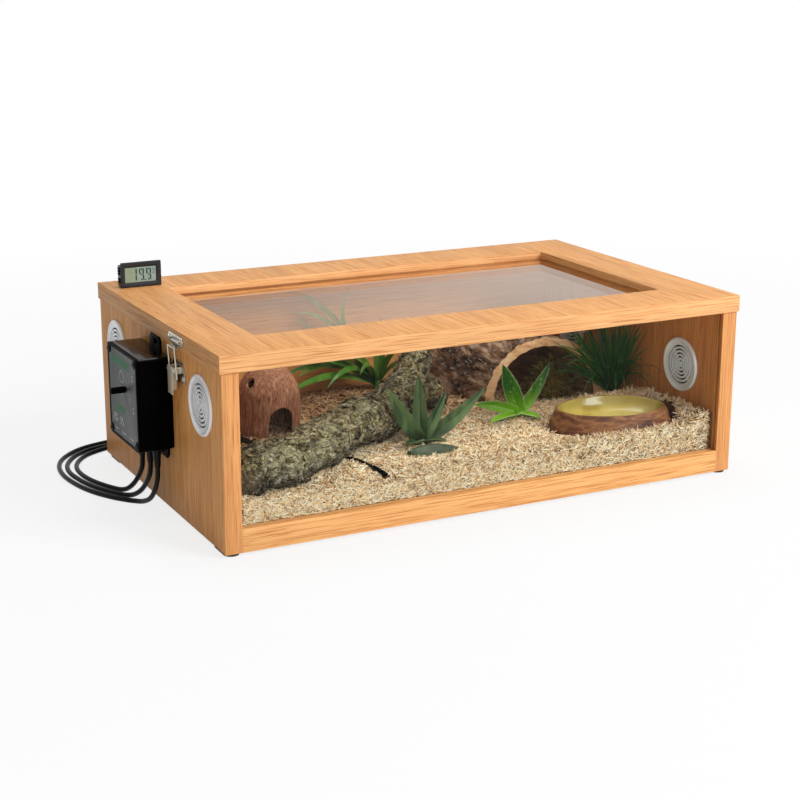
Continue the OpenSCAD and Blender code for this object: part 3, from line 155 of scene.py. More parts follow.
class Shader(Graph):
    """A procedural material around a Principled shader."""

    def __init__(self, name, rough=0.5, specular=0.5, metal=0.0):
        self.mat = bpy.data.materials.new(name)
        super().__init__(self.mat, bare=False)
        self.main = self.tree.nodes["Principled BSDF"]
        self.set("Roughness", rough)
        self.set("Specular IOR Level", specular)
        self.set("Metallic", metal)

    def set(self, socket, value):
        self.feed(self.main.inputs[socket], value)

    def place(self, scale, shift=(0, 0, 0), turn=0.0, warp=None, warp_by=0.0):
        """Object coordinates, pushed about by the colour warp, turned about Z and scaled."""
        vector = self.add("TexCoord").outputs["Object"]
        if warp is not None:
            feeds = {0: warp, 1: (warp_by,) * 3, 2: vector}
            vector = self.add("VectorMath", feeds, operation="MULTIPLY_ADD").outputs[0]
        scale = scale if isinstance(scale, tuple) else (scale,) * 3
        feeds = {"Vector": vector, "Location": shift, "Rotation": (0, 0, radians(turn)),
                 "Scale": scale}
        return self.add("Mapping", feeds).outputs[0]

    def noise(self, where, detail=2.0, rough=0.5, distort=0.0, output="Fac"):
        """Noise at a scale, or over the coordinates given."""
        feeds = {"Vector": where if isinstance(where, bpy.types.NodeSocket) else self.place(where),
                 "Scale": 1.0, "Detail": detail, "Roughness": rough, "Distortion": distort}
        return self.add("TexNoise", feeds).outputs[output]

    def cells(self, vector, feature="F1"):
        return self.add("TexVoronoi", {"Vector": vector, "Scale": 1.0},
                        feature=feature).outputs["Distance"]

    def island(self):
        return self.add("NewGeometry").outputs["Random Per Island"]

    def ramp(self, fac, *stops):
        node = self.add("ValToRGB", {"Fac": fac})
        elements = node.color_ramp.elements
        while len(elements) < len(stops):
            elements.new(0.5)
        for element, (place, colour) in zip(elements, stops):
            element.position = place
            element.color = (*linear(colour), 1)
        return node.outputs["Color"]

    def mix(self, fac, a, b, mode="MIX"):
        return self.add("Mix", {0: fac, 6: a, 7: b}, data_type="RGBA", blend_type=mode).outputs[2]

    def done(self, tone, height, strength, distance):
        """The material, given its colour and its relief."""
        feeds = {"Height": height, "Strength": strength, "Distance": distance}
        self.set("Normal", self.add("Bump", feeds).outputs[0])
        self.set("Base Color", tone)
        return self.mat


def veneer(name, colour, along, figure=0.5, seed=0.0):
    """Oak-look veneer, its grain along an axis: soft bands, fine streaks and short pores."""
    s = Shader(name, 0.5, 0.2)
    shift = (seed, seed * 1.7, seed * 0.6)
    colour = linear(colour)

    def grain(across, lengthwise, **warped):
        return s.place(tuple(lengthwise if axis == along else across for axis in "XYZ"), shift,
                       **warped)
    slow = s.noise(s.place(4, shift), 1.0, output="Color")
    bands = s.noise(grain(57.2, 2.6, warp=slow, warp_by=0.016), 3.0)
    streaks = s.noise(grain(616, 9), 3.0, 0.7)
    pores = s.noise(grain(1144, 20), 1.0)
    base = s.ramp(bands, (0.30, toned(colour, 0.88)), (0.46, colour), (0.62, toned(colour, 1.06)))
    base = s.mix(s.span(streaks, 0.48, 0.62, 0.0, figure), base, toned(colour, 0.74, 0.56, 0.44))
    base = s.mix(s.span(pores, 0.55, 0.64, 0.0, 0.7), base, toned(colour, 0.60, 0.40, 0.28))
    s.set("Roughness", s.span(streaks, 0.3, 0.7, 0.45, 0.6))
    return s.done(base, s.mix(0.5, streaks, pores), 0.12, 0.0003)


def plain(name, colour, rough=0.5, specular=0.5, grain=900.0, bump=0.05, metal=0.0, coat=0.0):
    """A moulded or rolled surface: fine grain in its height, a slight drift of its colour."""
    s = Shader(name, rough, specular, metal)
    s.set("Coat Weight", coat)
    low, high = toned(linear(colour), 0.88), toned(linear(colour), 1.12)
    return s.done(s.ramp(s.noise(30, 3.0), (0.3, low), (0.7, high)), s.noise(grain), bump, 0.0003)


def clear_glass(name, tint, gloss, shine_tint=(1, 1, 1), rising=0.0):
    """A pane that lets light straight through, and mirrors more at a slant and to its right; the
    rise to its right and a warm shine_tint are painted reflection.
    """
    mat = bpy.data.materials.new(name)
    g = Graph(mat)
    slant = g.calc("POWER", g.add("LayerWeight", {"Blend": 0.5}).outputs["Facing"], 5.0)
    share = g.calc("MULTIPLY_ADD", slant, 0.96 * gloss, 0.04 * gloss)
    grade = g.span(g.axis("X"), -0.25, 0.25, 1 - rising, 1 + rising, "LINEAR")
    g.show("OutputMaterial", g.calc("MULTIPLY", share, grade),
           g.add("BsdfTransparent", {"Color": tint}),
           g.add("BsdfGlossy", {"Color": shine_tint, "Roughness": 0.02}))
    return mat


def paint(nodes, mat):
    for node in nodes.split():
        materials = NODES[node].data.materials
        materials.clear()
        materials.append(mat)


rubber = plain("cable_sheath", "060607", 0.3, 0.14, grain=500)


# ---------------- leads
def smooth_line(points, steps=4):
    """A Catmull-Rom curve through points, with steps pieces between neighbours."""
    p = [Vector(q) for q in points]
    line = []
    for i in range(len(p) - 1):
        a, b, c, d = p[max(i - 1, 0)], p[i], p[i + 1], p[min(i + 2, len(p) - 1)]
        for t in (k / steps for k in range(steps)):
            line.append(0.5 * (2 * b + (c - a) * t + (2 * a - 5 * b + 4 * c - d) * t * t
                               + (3 * b - a - 3 * c + d) * t ** 3))
    return line + [p[-1]]


def route(text):
    """Points in metres from a text of millimetres."""
    numbers = [float(word) * MM for word in text.split()]
    return list(zip(numbers[::3], numbers[1::3], numbers[2::3]))


def lead(name, line, diameter, nodes):
    data = bpy.data.curves.new(name, "CURVE")
    data.dimensions, data.bevel_depth, data.bevel_resolution = "3D", diameter / 2, 4
    data.use_fill_caps = True
    spline = data.splines.new("POLY")
    spline.points.add(len(line) - 1)
    for point, q in zip(spline.points, line):
        point.co = (*q, 1)
    spline.use_smooth = True
    data.materials.append(rubber)
    return put(name, data, "cabinet", nodes, "cable_rubber")


ROUTES = {
    "mains": route("""
        -319 -39 52  -319 -39 46  -319.5 -37 36  -320.5 -30 23  -322 -19 12  -325 -5 5.2
        -330 6 2.9  -338 15 2.8  -348 29 2.8  -359 50 2.8  -367 73 2.8  -372 98 2.8  -374 124 2.8
        -371 152 2.8  -362 177 2.8  -346 198 2.8  -325 214 2.8  -300 223 2.8  -274 227 3.2
        -248 228 3.8  -224 228 4.2  -202 228 4.2  -182 228 4.2  -170 228 4.2"""),
    "heater": route("""
        -319 -16 52  -319 -16 46  -319.5 -13 36  -321 -4 24  -323 8 13  -327 20 5.5  -333 29 3
        -341 41 2.8  -350 58 2.8  -358 80 2.8  -363 104 2.8  -365 130 2.8  -361 155 2.8
        -351 176 2.8  -336 194 2.8  -315 207 2.8  -290 213 3.5  -266 216 9  -248 219 22
        -238 222 40  -234 221 58  -234 212 72  -234 201 78  -234 192.5 78"""),
    "sensor": route("""
        -319 10 52  -319 10 46  -319.5 12 37  -321 19 26  -323.5 29 15  -327 39 7  -332 48 3.3
        -339 61 2.8  -347 80 2.8  -353 102 2.8  -355 126 2.8  -352 149 2.8  -343 169 2.8
        -328 187 2.8  -310 198 2.8  -291 203 4.5  -273 206 11  -258 209 24  -250 212 42
        -247 212 60  -246 207 72  -246 200 77.6  -246 192.5 78"""),
    "inner_heater": route("""
        -234 179.5 78  -234 174 78  -234.5 163 74  -235.5 151 66  -237 139 57  -238 127 51
        -238 113 49.2  -235 96 49.1  -227 78 49.1  -217 61 49.1  -207 44 49.1  -200 26 49.1
        -197.4 10 49.6  -197 -4 50.8  -197 -12 51"""),
    "inner_probe": route("""
        -246 179.5 78  -246 176 77.8  -246 166 73  -247 153 63  -248 140 53  -249 127 48.3
        -248 110 47.9  -244 92 47.9  -236 73 47.9  -227 56 47.9  -218 38 47.9  -213 18 47.9
        -211.5 -4 47.9  -211 -26 47.9  -206 -45 47.9  -191 -59 47.9  -170 -65 47.9  -150 -68 47.9
        -133 -75 47.9  -121 -89 47.9  -115 -107 47.9  -114 -124 48.2  -114 -132 48.6""")}
TAIL_ROUTE = route("""
    -170 228 40.8  -160 228 40.5  -146 228.5 39  -130 230 35  -114 233 28  -99 238 19.5
    -85 246 11.5  -73 256 6.5  -64 268 4.6  -58 283 4.6  -56 298 5.6  -56 310 7.4  -56 319 8
    -56 325 8""")
COIL_AT, COIL_R, COIL_PITCH, COIL_TURNS = Vector((-0.170, 0.258, 0.0042)), 0.030, 0.0061, 6
COIL_RINGS = 24  # points in a turn
LEAD_D, PROBE_LEAD_D = 0.0055, 0.0032


def coil_line():
    turns = []
    for k in range(COIL_TURNS * COIL_RINGS + 1):
        a = radians(-90 + 360 * k / COIL_RINGS)
        turns.append(COIL_AT + Vector((COIL_R * cos(a), COIL_R * sin(a),
                                       COIL_PITCH * k / COIL_RINGS)))
    return turns


LINES, FLEXES = {}, {}
for name, points in ROUTES.items():
    LINES[name] = smooth_line(points)
LINES["mains"] = LINES["mains"][:-1] + coil_line() + smooth_line(TAIL_ROUTE)[1:]
for name, nodes in (("mains", ["mains_lead", "mains_lead_coil", "mains_lead_tail"]),
                    ("heater", ["heater_lead"]), ("sensor", ["sensor_lead"]),
                    ("inner_heater", ["inner_heater_lead"]), ("inner_probe", ["inner_probe_lead"])):
    width = PROBE_LEAD_D if name == "inner_probe" else LEAD_D
    FLEXES[name] = lead(name + "_flex", LINES[name], width, nodes)


# ---------------- mesh building, in millimetres
def circle(n, start=0.0, sweep=2 * pi):
    """The angles of n points round a ring."""
    return [start + sweep * k / n for k in range(n)]


class Build:
    """Collects the points and faces of one piece."""

    def __init__(self):
        self.verts, self.faces, self.slots = [], [], []

    def skin(self, rings, slot=0, caps=True, loop=False):
        base, n, count = len(self.verts), len(rings[0]), len(rings)
        for ring in rings:
            self.verts.extend(tuple(p) for p in ring)
        for k in range(count if loop else count - 1):
            here, there = base + k * n, base + (k + 1) % count * n
            for j in range(n):
                m = (j + 1) % n
                self.faces.append((here + j, here + m, there + m, there + j))
                self.slots.append(slot)
        if caps and not loop:
            last = base + (count - 1) * n
            self.faces += [tuple(range(base + n - 1, base - 1, -1)), tuple(range(last, last + n))]
            self.slots += [slot] * 2

    def tube(self, line, radii, sides, slot=0):
        """A tube round a line of points, with a radius for each of them."""
        line = [Vector(p) for p in line]
        first = heading(line, 0).cross(Vector((0.31, 0.2, 0.93)))
        self.skin([[p + r * (cos(a) * up + sin(a) * side) for a in circle(sides)]
                   for (p, up, side), r in zip(walk(line, first), radii)], slot)

    def box(self, x0, x1, y0, y1, z0, z1, slot=0):
        self.skin([[(x0, y0, z), (x1, y0, z), (x1, y1, z), (x0, y1, z)] for z in (z0, z1)], slot)

    def piece(self, name, mats, replaces=(), slot=None, smooth=35.0, bevel=0.0, body="cabinet"):
        mesh = bpy.data.meshes.new(name)
        mesh.from_pydata([tuple(c * MM for c in v) for v in self.verts], [], self.faces)
        mesh.polygons.foreach_set("material_index", self.slots)
        return finish_piece(name, mesh, mats, replaces, slot, smooth, bevel, body)


def heading(line, i):
    """The direction of a line of points at one of them."""
    return (line[min(i + 1, len(line) - 1)] - line[max(i - 1, 0)]).normalized()


def walk(line, up):
    """Each point of a line, with two directions across it that don't twist along the way."""
    for i, p in enumerate(line):
        d = heading(line, i)
        up = (up - d * up.dot(d)).normalized()
        yield p, up, d.cross(up)


def finish_piece(name, mesh, mats, replaces, slot, smooth=35.0, bevel=0.0, body="cabinet"):
    """A mesh with its normals set right, its edges eased and its materials, as a piece."""
    bm = bmesh.new()
    bm.from_mesh(mesh)
    bmesh.ops.recalc_face_normals(bm, faces=bm.faces)
    if bevel:
        sharp = [e for e in bm.edges
                 if len(e.link_faces) == 2 and e.calc_face_angle(0) > radians(30)]
        bmesh.ops.bevel(bm, geom=sharp, offset=bevel * MM, segments=2, profile=0.6,
                        affect="EDGES", clamp_overlap=True, material=-1)
    bm.to_mesh(mesh)
    bm.free()
    for mat in mats:
        mesh.materials.append(mat)
    mesh.shade_smooth()
    mesh.set_sharp_from_angle(angle=radians(smooth))
    return put(name, mesh, body, replaces, slot)


WELD = 2e-6  # points of a CAD node nearer than this, in metres, are one


def drop_normals(mesh):
    """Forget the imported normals, which no longer fit an edited mesh."""
    if mesh.attributes.get("custom_normal"):
        mesh.attributes.remove(mesh.attributes["custom_normal"])


def dress(node, mats, bevel, slot, pick=None):
    """A copy of a CAD node with eased edges; pick(normal, middle) chooses a face's material."""
    bm = bmesh.new()
    bm.from_mesh(NODES[node].data)
    bmesh.ops.remove_doubles(bm, verts=bm.verts, dist=WELD)
    bmesh.ops.dissolve_limit(bm, angle_limit=radians(0.6), verts=bm.verts, edges=bm.edges)
    for face in bm.faces:
        face.material_index = pick(face.normal, face.calc_center_median()) if pick else 0
    mesh = bpy.data.meshes.new(node + "_finished")
    bm.to_mesh(mesh)
    bm.free()
    drop_normals(mesh)
    bodies = frame["record"]["behaviour"]["bodies"]
    home = next(body for body, names in bodies.items() if node in names)
    finish_piece(node + "_finished", mesh, mats, [node], slot, bevel=bevel, body=home)


def fbm(p, size, octaves=4):
    """Rough noise of about -1 to 1 at a point; size is its largest wave."""
    total, weight, v = 0.0, 1.0, Vector(p) / size
    for _ in range(octaves):
        total += weight * noise.noise(v)
        v, weight = v * 2.03 + Vector((3.1, 1.7, 5.3)), weight * 0.5
    return total


# ---------------- the cabinet's own measures
INNER_X, PANE_BACK, BACK_INNER, BED_TOP, RAIL_TOP = 285.0, -180.5, 181.5, 46.0, 27.0

# ---------------- bedding
DISH_AT, DISH_TURN, DISH_A, DISH_B, DISH_H = (197.6, -106.6), radians(-10), 74.0, 52.5, 24.0
DISH_RIM = 11.8  # the rim's flare and its thickness
CELL, CELLS = 2, (290, 190)  # the map of the leads: the size of its cells, and their number


def dish_reach(x, y):
    """How far points are from the dish's middle, as a share of its rim."""
    dx, dy = x - DISH_AT[0], y - DISH_AT[1]
    u = dx * cos(DISH_TURN) + dy * sin(DISH_TURN)
    v = dy * cos(DISH_TURN) - dx * sin(DISH_TURN)
    return np.hypot(u / (DISH_A + 1), v / (DISH_B + 1))


def ease(t):
    t = np.clip(t, 0, 1)
    return t * t * (3 - 2 * t)


def heaps(x, y):
    """The bed's heaps in its front corner, as in the CAD model, and the tufts by the pane."""
    u, v = x - INNER_X, y - PANE_BACK
    behind = 18 * ease((u + 145) / 70) * ease((156 - v) / 24) * ease((v - 78) / 30)
    corner = 22 * ease((u + 42) / 36) * ease((156 - v) / 44)
    front = 8 * ease((u + 225) / 70) * ease((46 - v) / 34)
    wave = np.sin(np.radians(7 * u + 3 * v)) * np.sin(np.radians(8 * v - 3 * u))
    tufts = 1.8 * ease((u + 385) / 30) * ease((66 - v) / 16) * (0.5 + 0.5 * wave)
    return np.maximum(np.maximum(behind, corner), front) + tufts


def bed_height(x, y):
    if dish_reach(x, y) < 1:
        return BED_TOP - 0.2
    return BED_TOP + float(heaps(np.float64(x), np.float64(y))) - 0.8 + 0.6 * fbm((x, y, 0), 12, 3)


def bedding_material(name, stops, dark):
    """Wood chips of many tones, in drifts of shade, and painted shade that darkens them towards the
    back.
    """
    s = Shader(name, 0.8, 0.2)
    patch = s.noise(45)
    tone = s.ramp(s.island(), *stops)
    tone = s.mix(s.span(patch, 0.35, 0.6, dark, 0.0), tone, "cea67c", "MULTIPLY")
    # Painted shade: the chips' tone darkens towards the back of the bed, its edge made ragged by
    # the patches.
    back = s.calc("ADD", s.axis("Y"), s.span(patch, 0.3, 0.7, -0.04, 0.04))
    tone = s.mix(s.span(back, -0.08, 0.10, 0.0, 0.9), tone, "bea48c", "MULTIPLY")
    grain = s.noise(1400, 1.0)
    tone = s.mix(s.span(grain, 0.45, 0.75, 0.0, 0.2), tone, "cea270")
    return s.done(tone, grain, 0.3, 0.0002)


def strands(name, x, y, z, facing, tilt, length, width, bend):
    """Curled three-sided fibres as one piece, one for each entry of the arrays."""
    flat = np.cos(tilt)
    along = np.stack([np.cos(facing) * flat, np.sin(facing) * flat, np.sin(tilt)], 1)
    side = np.stack([np.sin(facing), -np.cos(facing), np.zeros_like(facing)], 1)
    up = np.cross(side, along)
    middle = np.stack([x, y, z], 1)
    sag = np.sin(bend)[:, None] * side + np.cos(bend)[:, None] * up
    sag *= (0.16 * length)[:, None]
    rings = []
    for t, thin in ((-0.5, 0.6), (0.0, 1.0), (0.5, 0.5)):
        c = middle + along * (length * t)[:, None] + sag * (0.5 - 4 * t * t)
        half = (width * thin / 2)[:, None]
        rings += [c + side * -half, c + side * half, c + up * half]
    verts = np.stack(rings, 1).reshape(-1, 3) * MM
    one = [(j + 3 * k, j + 3 * k + 3, (j + 1) % 3 + 3 * k + 3, (j + 1) % 3 + 3 * k)
           for k in (0, 1) for j in range(3)] + [(0, 1, 2), (6, 8, 7)]
    faces = [tuple(9 * i + v for v in face) for i in range(len(x)) for face in one]
    mesh = bpy.data.meshes.new(name)
    mesh.from_pydata(verts.tolist(), [], faces)
    mesh.materials.append(bedding_fibre)
    put(name, mesh, "cabinet", slot="wood_chip")


def make_bed():
    """The bed's surface, its front face behind the pane and its ledge on the rail."""
    across, deep = 150, 96
    face_y, ledge_y, rear, foot = PANE_BACK + 2.4, PANE_BACK + 9.5, BACK_INNER - 0.1, 11.6
    rows = []
    for i in range(across + 1):
        x = -INNER_X + 0.1 + (2 * INNER_X - 0.2) * i / across
        ys = [rear + (face_y - BACK_INNER) * j / deep for j in range(deep + 1)]
        rows.append([(x, y, bed_height(x, y)) for y in ys]
                    + [(x, face_y, RAIL_TOP), (x, ledge_y, RAIL_TOP), (x, ledge_y, foot),
                       (x, rear, foot)])
    build = Build()
    build.skin(rows)
    build.piece("bedding", [bedding_ground], ["substrate_bed"], "wood_chip", 60)


def make_fibres():
    rng = np.random.default_rng(11)
    on_leads, by_leads = np.zeros((2, *CELLS), bool)  # bare under a lead, short chips beside it
    for node in ("inner_heater_lead", "inner_probe_lead", "sensor_probe", "inner_connector"):
        for v in NODES[node].data.vertices:
            i, j = int((v.co.x / MM + INNER_X) / CELL), int((v.co.y / MM - PANE_BACK) / CELL)
            if v.co.z / MM < BED_TOP + 16:  # the lead is down on the bed
                for cells, reach in ((on_leads, 1), (by_leads, 4)):
                    cells[max(0, i - reach):i + reach + 1, max(0, j - reach):j + reach + 1] = True

    def strew(part, count, y0, y1, lift):
        tries = 3 * count
        x, y = rng.uniform(-INNER_X, INNER_X, tries), rng.uniform(y0, y1, tries)
        length = rng.uniform(5, 13.5, tries)
        cell = ((x + INNER_X) / CELL).astype(int), ((y - PANE_BACK) / CELL).astype(int)
        length = np.where(by_leads[cell], 0.42 * length, length)
        clear = (dish_reach(x, y) > 1.03) & ~on_leads[cell]
        inside = (np.abs(x) < INNER_X - 2 - length * 0.45) & (y > PANE_BACK + 2)
        keep = (clear & inside).nonzero()[0][:count]
        x, y, length = x[keep], y[keep], length[keep]
        n = len(x)
        near_pane = y - length / 2 < PANE_BACK + 0.8
        facing = np.where(near_pane, rng.uniform(-0.1, 0.1, n), rng.uniform(0, pi, n))
        high = heaps(x, y)
        steep = np.where(high > 4, 0.65, 0.36)
        tilt = np.clip(rng.normal(0, 1, n) * steep, -1.2, 1.2)
        z = BED_TOP + high + rng.uniform(-1.7, lift - 1.2, n) + np.abs(np.sin(tilt)) * length * 0.1
        strands("bedding_fibres_" + part, x, y, z, facing, tilt, length,
                rng.uniform(1.0, 2.3, n), rng.uniform(0, 6.28, n))

    strew("front", 10500, PANE_BACK + 1, -95, 2.8)
    strew("middle", 11500, -95, 10, 2.6)
    strew("back", 8500, 10, BACK_INNER - 2, 1.6)
    n = 6500  # pressed against the pane
    x = rng.uniform(-INNER_X + 6, INNER_X - 6, n)
    top = BED_TOP + heaps(x, np.full(n, PANE_BACK + 2.0))
    z = RAIL_TOP + 0.9 + (top - RAIL_TOP - 0.2) * rng.uniform(0, 1, n)
    length = rng.uniform(4.5, 10, n)
    room = np.arcsin(np.clip((z - RAIL_TOP - 0.6) / (length * 0.5), 0, 0.95))
    tilt = np.clip(rng.uniform(-1.5, 1.5, n), -room, room)
    strands("bedding_fibres_pane", x, PANE_BACK + rng.uniform(0.85, 2.3, n), z,
            rng.uniform(-0.06, 0.06, n), tilt, length, rng.uniform(0.8, 1.5, n),
            rng.choice([0.0, pi], n))


# The ground between the chips is plain dark brown: painted shade in the gaps between them.
bedding_ground = bedding_material("bedding_ground", [(0.0, "684628"), (1.0, "684628")], 0.5)
bedding_fibre = bedding_material("bedding_fibre", [
    (0.0, "9c6c42"), (0.10, "dcb07a"), (0.28, "fce2b4"), (0.84, "fffae4"),
    (1.0, "a06e42")], 0.08)
make_bed()
make_fibres()


# ---------------- water dish
DISH_OUTSIDE = (  # how far in from the foot's oval, height, roughness
    (2.5, 0.05, 0), (1.2, 1.8, 0.5), (0.8, 3.6, 1.0), (1.08, 6.0, 1.2), (2.25, 9.0, 1.3),
    (3.24, 12.0, 1.3), (4.5, 14.6, 1.3), (5.76, 17.0, 1.2), (6.84, 19.2, 1.0), (7.92, 21.4, 0.6),
    (9, 23.0, 0.3), (9.8, DISH_H, 0.15))
DISH_INSIDE = (  # shares of the inner oval, height, roughness
    (1.01, 1.01, 23.8, 0.1), (0.99, 0.99, 22.8, 0), (0.965, 0.955, 19.68, 0),
    (0.93, 0.91, 15.84, 0), (0.87, 0.84, 12, 0), (0.80, 0.76, 9.2, 0), (0.72, 0.67, 6.9, 0),
    (0.62, 0.56, 5.5, 0), (0.4, 0.35, 5.1, 0), (0.15, 0.12, 5.0, 0))


def make_dish():
    """Moulded stone outside in rough layers, olive glaze inside."""
    profile = [(DISH_A - inset, DISH_B - inset, z, rough) for inset, z, rough in DISH_OUTSIDE]
    profile += [((DISH_A - DISH_RIM) * sa, (DISH_B - DISH_RIM) * sb, z, rough)
                for sa, sb, z, rough in DISH_INSIDE]
    along, across = cos(DISH_TURN), sin(DISH_TURN)
    rings, n = [], 132
    for pa, pb, z, rough in profile:
        ring = []
        for t in circle(n):
            u, v = pa * cos(t), pb * sin(t)
            push = rough * (1.1 * fbm((u, v, z * 3), 16, 4) - 0.6)
            if 1 < z < DISH_H - 1:
                lift = 0.7 * rough * fbm((u * 0.5, v * 0.5, 40), 12, 3)
            else:
                lift = 0.5 * fbm((u, v, 9), 40, 2) * (z > DISH_H - 2)
            s = 1 + push / max(hypot(u, v), 1)
            ring.append((DISH_AT[0] + s * (u * along - v * across),
                         DISH_AT[1] + s * (u * across + v * along),
                         BED_TOP + min(DISH_H, z + lift)))
        rings.append(ring)
    build = Build()
    build.skin(rings)
    glazed = (len(DISH_INSIDE) - 1) * n
    build.slots = [0] * (len(DISH_OUTSIDE) * n) + [1] * glazed + [0, 1]
    stone = Shader("dish_stone", 0.6, 0.35)
    layers = stone.noise((30, 30, 160), 4.0, 0.6, 0.6)
    spots = stone.noise((140, 140, 220), 3.0, 0.7)
    tone = stone.ramp(layers, (0.30, "422418"), (0.45, "76462c"), (0.58, "a67246"),
                      (0.72, "70422c"))
    tone = stone.mix(stone.span(spots, 0.5, 0.68, 0.0, 0.6), tone, "5c3622")
    stone.done(tone, stone.mix(0.5, layers, spots), 0.6, 0.0012)
    glaze = Shader("dish_glaze", 0.2, 0.5)
    tone = glaze.ramp(glaze.noise(28, 3.0, 0.6), (0.30, "ac9642"), (0.5, "d0be68"),
                      (0.68, "e2d282"))
    # Painted shade: the glaze darkens up the basin's wall.
    wall = glaze.span(glaze.axis("Z"), 0.0525, 0.066, 0.0, 0.6)
    glaze.done(glaze.mix(wall, tone, "968430"), glaze.noise(120), 0.08, 0.0006)
    build.piece("stone_dish", [stone.mat, glaze.mat], ["water_dish"], "glazed_stone", 50)


make_dish()


# ---------------- bark log
LOG_CORNER = Vector((-INNER_X, PANE_BACK, BED_TOP - 1.5))
# Each limb's axis from the log's corner, with its radius
LOG_POINTS = (
    (19, 22.5, 20.8, 19.3), (33, 36.5, 25, 23), (75.3, 48.5, 26.4, 24), (123, 75.5, 32, 24),
    (158, 100, 34, 22.5), (191, 120.5, 34, 24.5), (213, 135.5, 31, 24), (237, 150.5, 32, 22),
    (263, 168.5, 47, 20), (285, 185.5, 63, 18), (300, 200, 75, 15))
FORK_POINTS = (
    (262, 170, 44, 14), (284, 184, 42, 14), (310, 200.5, 36, 13.5), (333, 220.5, 18, 12.5),
    (342, 228, 13, 10))


def keep_inside(p):
    return Vector((max(p.x, -INNER_X + 0.4), max(p.y, PANE_BACK + 0.5), p.z))


def scales(build, axis, rings, seed):
    """Curled flakes of bark, each with one end under the surface and the other lifted."""
    rng = random.Random(seed)
    for _ in range(10 * len(rings)):
        i, j = rng.randrange(1, len(rings) - 2), rng.randrange(len(rings[0]))
        p, middle = rings[i][j], LOG_CORNER + axis[i]
        out = (p - middle).normalized()
        along = (axis[i + 1] - axis[i]).normalized()
        across = out.cross(along)
        turn = rng.gauss(0, 0.5)
        way = (cos(turn) * along + sin(turn) * across) * rng.choice((-1, 1))
        side = out.cross(way)
        length, half, lift = rng.uniform(5, 15), rng.uniform(1.5, 4.2), rng.uniform(0.6, 3.4)
        rows = []
        for t, wide, high in ((-0.5, 0.5, -1.1), (0.0, 1.0, lift * 0.45), (0.35, 0.8, lift * 0.9),
                              (0.5, 0.4, lift)):
            c, reach = p + way * length * t + out * high, side * half * wide
            row = (c + reach - out * 0.3, c + out * 0.35, c - reach - out * 0.3, c - out * 0.9)
            rows.append([keep_inside(q) for q in row])
        build.skin(rows)


def branch(build, points, steps, sides, seed):
    """A bark-covered limb: cracked ridges, knots and a broken end."""
    axis = smooth_line([p[:3] for p in points], steps)
    radii = [v.x for v in smooth_line([(p[3], 0, 0) for p in points], steps)]
    rings = []
    for i, (p, up, side) in enumerate(walk(axis, Vector((0.1, -0.3, 1)))):
        ring = []
        for a in circle(sides):
            out = cos(a) * up + sin(a) * side
            q = p + out * radii[i]
            bump = 5.0 * fbm(q + Vector((seed, 0, 0)), 34, 3)
            bump += 2.6 * fbm(q + Vector((0, seed, 0)), 10, 3)
            flat = Vector((q.x * 0.8, q.y * 0.8, q.z * 1.5)) + Vector((seed, seed, 0))
            flake = max(0.0, 1 - abs(fbm(flat, 9, 3)) * 2.2)
            crack = max(0.0, 0.22 - abs(fbm((a * 9, i * 0.35, seed), 1.6, 2)))
            r = radii[i] - 0.5 + bump + 1.1 * flake - 1.4 * crack / 0.22
            if i in (0, len(axis) - 1):
                r *= 0.86
            ring.append(keep_inside(LOG_CORNER + p + out * r))
        rings.append(ring)
    scales(build, axis, rings, seed)
    ends = []
    for ring in (rings[0], rings[-1]):
        middle = sum(ring, Vector()) / sides
        ends.append([middle + (q - middle) * 0.55 + Vector((0, 0, 0.6 * fbm(q, 5, 2)))
                     for q in ring])
    build.skin([ends[0], *rings, ends[1]])


def make_log():
    build = Build()
    branch(build, LOG_POINTS, 15, 100, 3)
    branch(build, FORK_POINTS, 11, 72, 9)
    s = Shader("mossy_bark", 0.85, 0.2)
    big = s.noise(26, 4.0, 0.65)
    scale_tone = s.island()
    coarse = s.noise(60, output="Color")
    fine = s.noise(s.place((110, 300, 230), turn=-33, warp=coarse, warp_by=0.012), 4.0, 0.7)
    crust = s.cells(s.place((110, 230, 170), turn=-33, warp=coarse, warp_by=0.02),
                    "DISTANCE_TO_EDGE")
    moss = s.ramp(fine, (0.32, "32281c"), (0.42, "786a4a"), (0.52, "aa9e72"),
                  (0.61, "cec6a2"), (0.72, "ece9d8"))
    bark = s.ramp(fine, (0.34, "1a1411"), (0.48, "544a3e"), (0.62, "b2ab9e"))
    lower = s.span(s.axis("Z"), 0.056, 0.082, 0.85, 0.0)
    tone = s.mix(s.calc("MAXIMUM", lower, s.span(big, 0.52, 0.66, 0.0, 0.8)), moss, bark)
    tone = s.mix(s.span(crust, 0.0, 0.08, 0.6, 0.0), tone, "382e22")
    wide = s.noise(s.place(60, (4, 1, 2)), 3.0, 0.6)
    tone = s.mix(s.span(wide, 0.36, 0.5, 0.7, 0.0), tone, "5c4e3e", "MULTIPLY")
    tone = s.mix(s.span(scale_tone, 0.0, 1.0, 0.8, 0.2), tone, "b6ae9a", "MULTIPLY")
    tone = s.mix(s.span(scale_tone, 0.90, 0.95, 0.0, 0.3), tone, "ceccb8")
    mat = s.done(tone, s.calc("ADD", fine, s.span(crust, 0.0, 0.16, 0.0, 0.6)), 1.0, 0.0016)
    build.piece("bark_log", [mat], ["cork_log"], "mossy_bark", 80)


make_log()


# ---------------- bark arch
ARCH_CORNER = Vector((INNER_X, BACK_INNER, BED_TOP))
ARCH_WALL = 12.0
# Its two ends: the middle of the span, half of the span, and the height
ARCH_FRONT, ARCH_REAR = (-93, -160, 77, -21, 80.0), (-148, -42, 66, 8, 82.0)


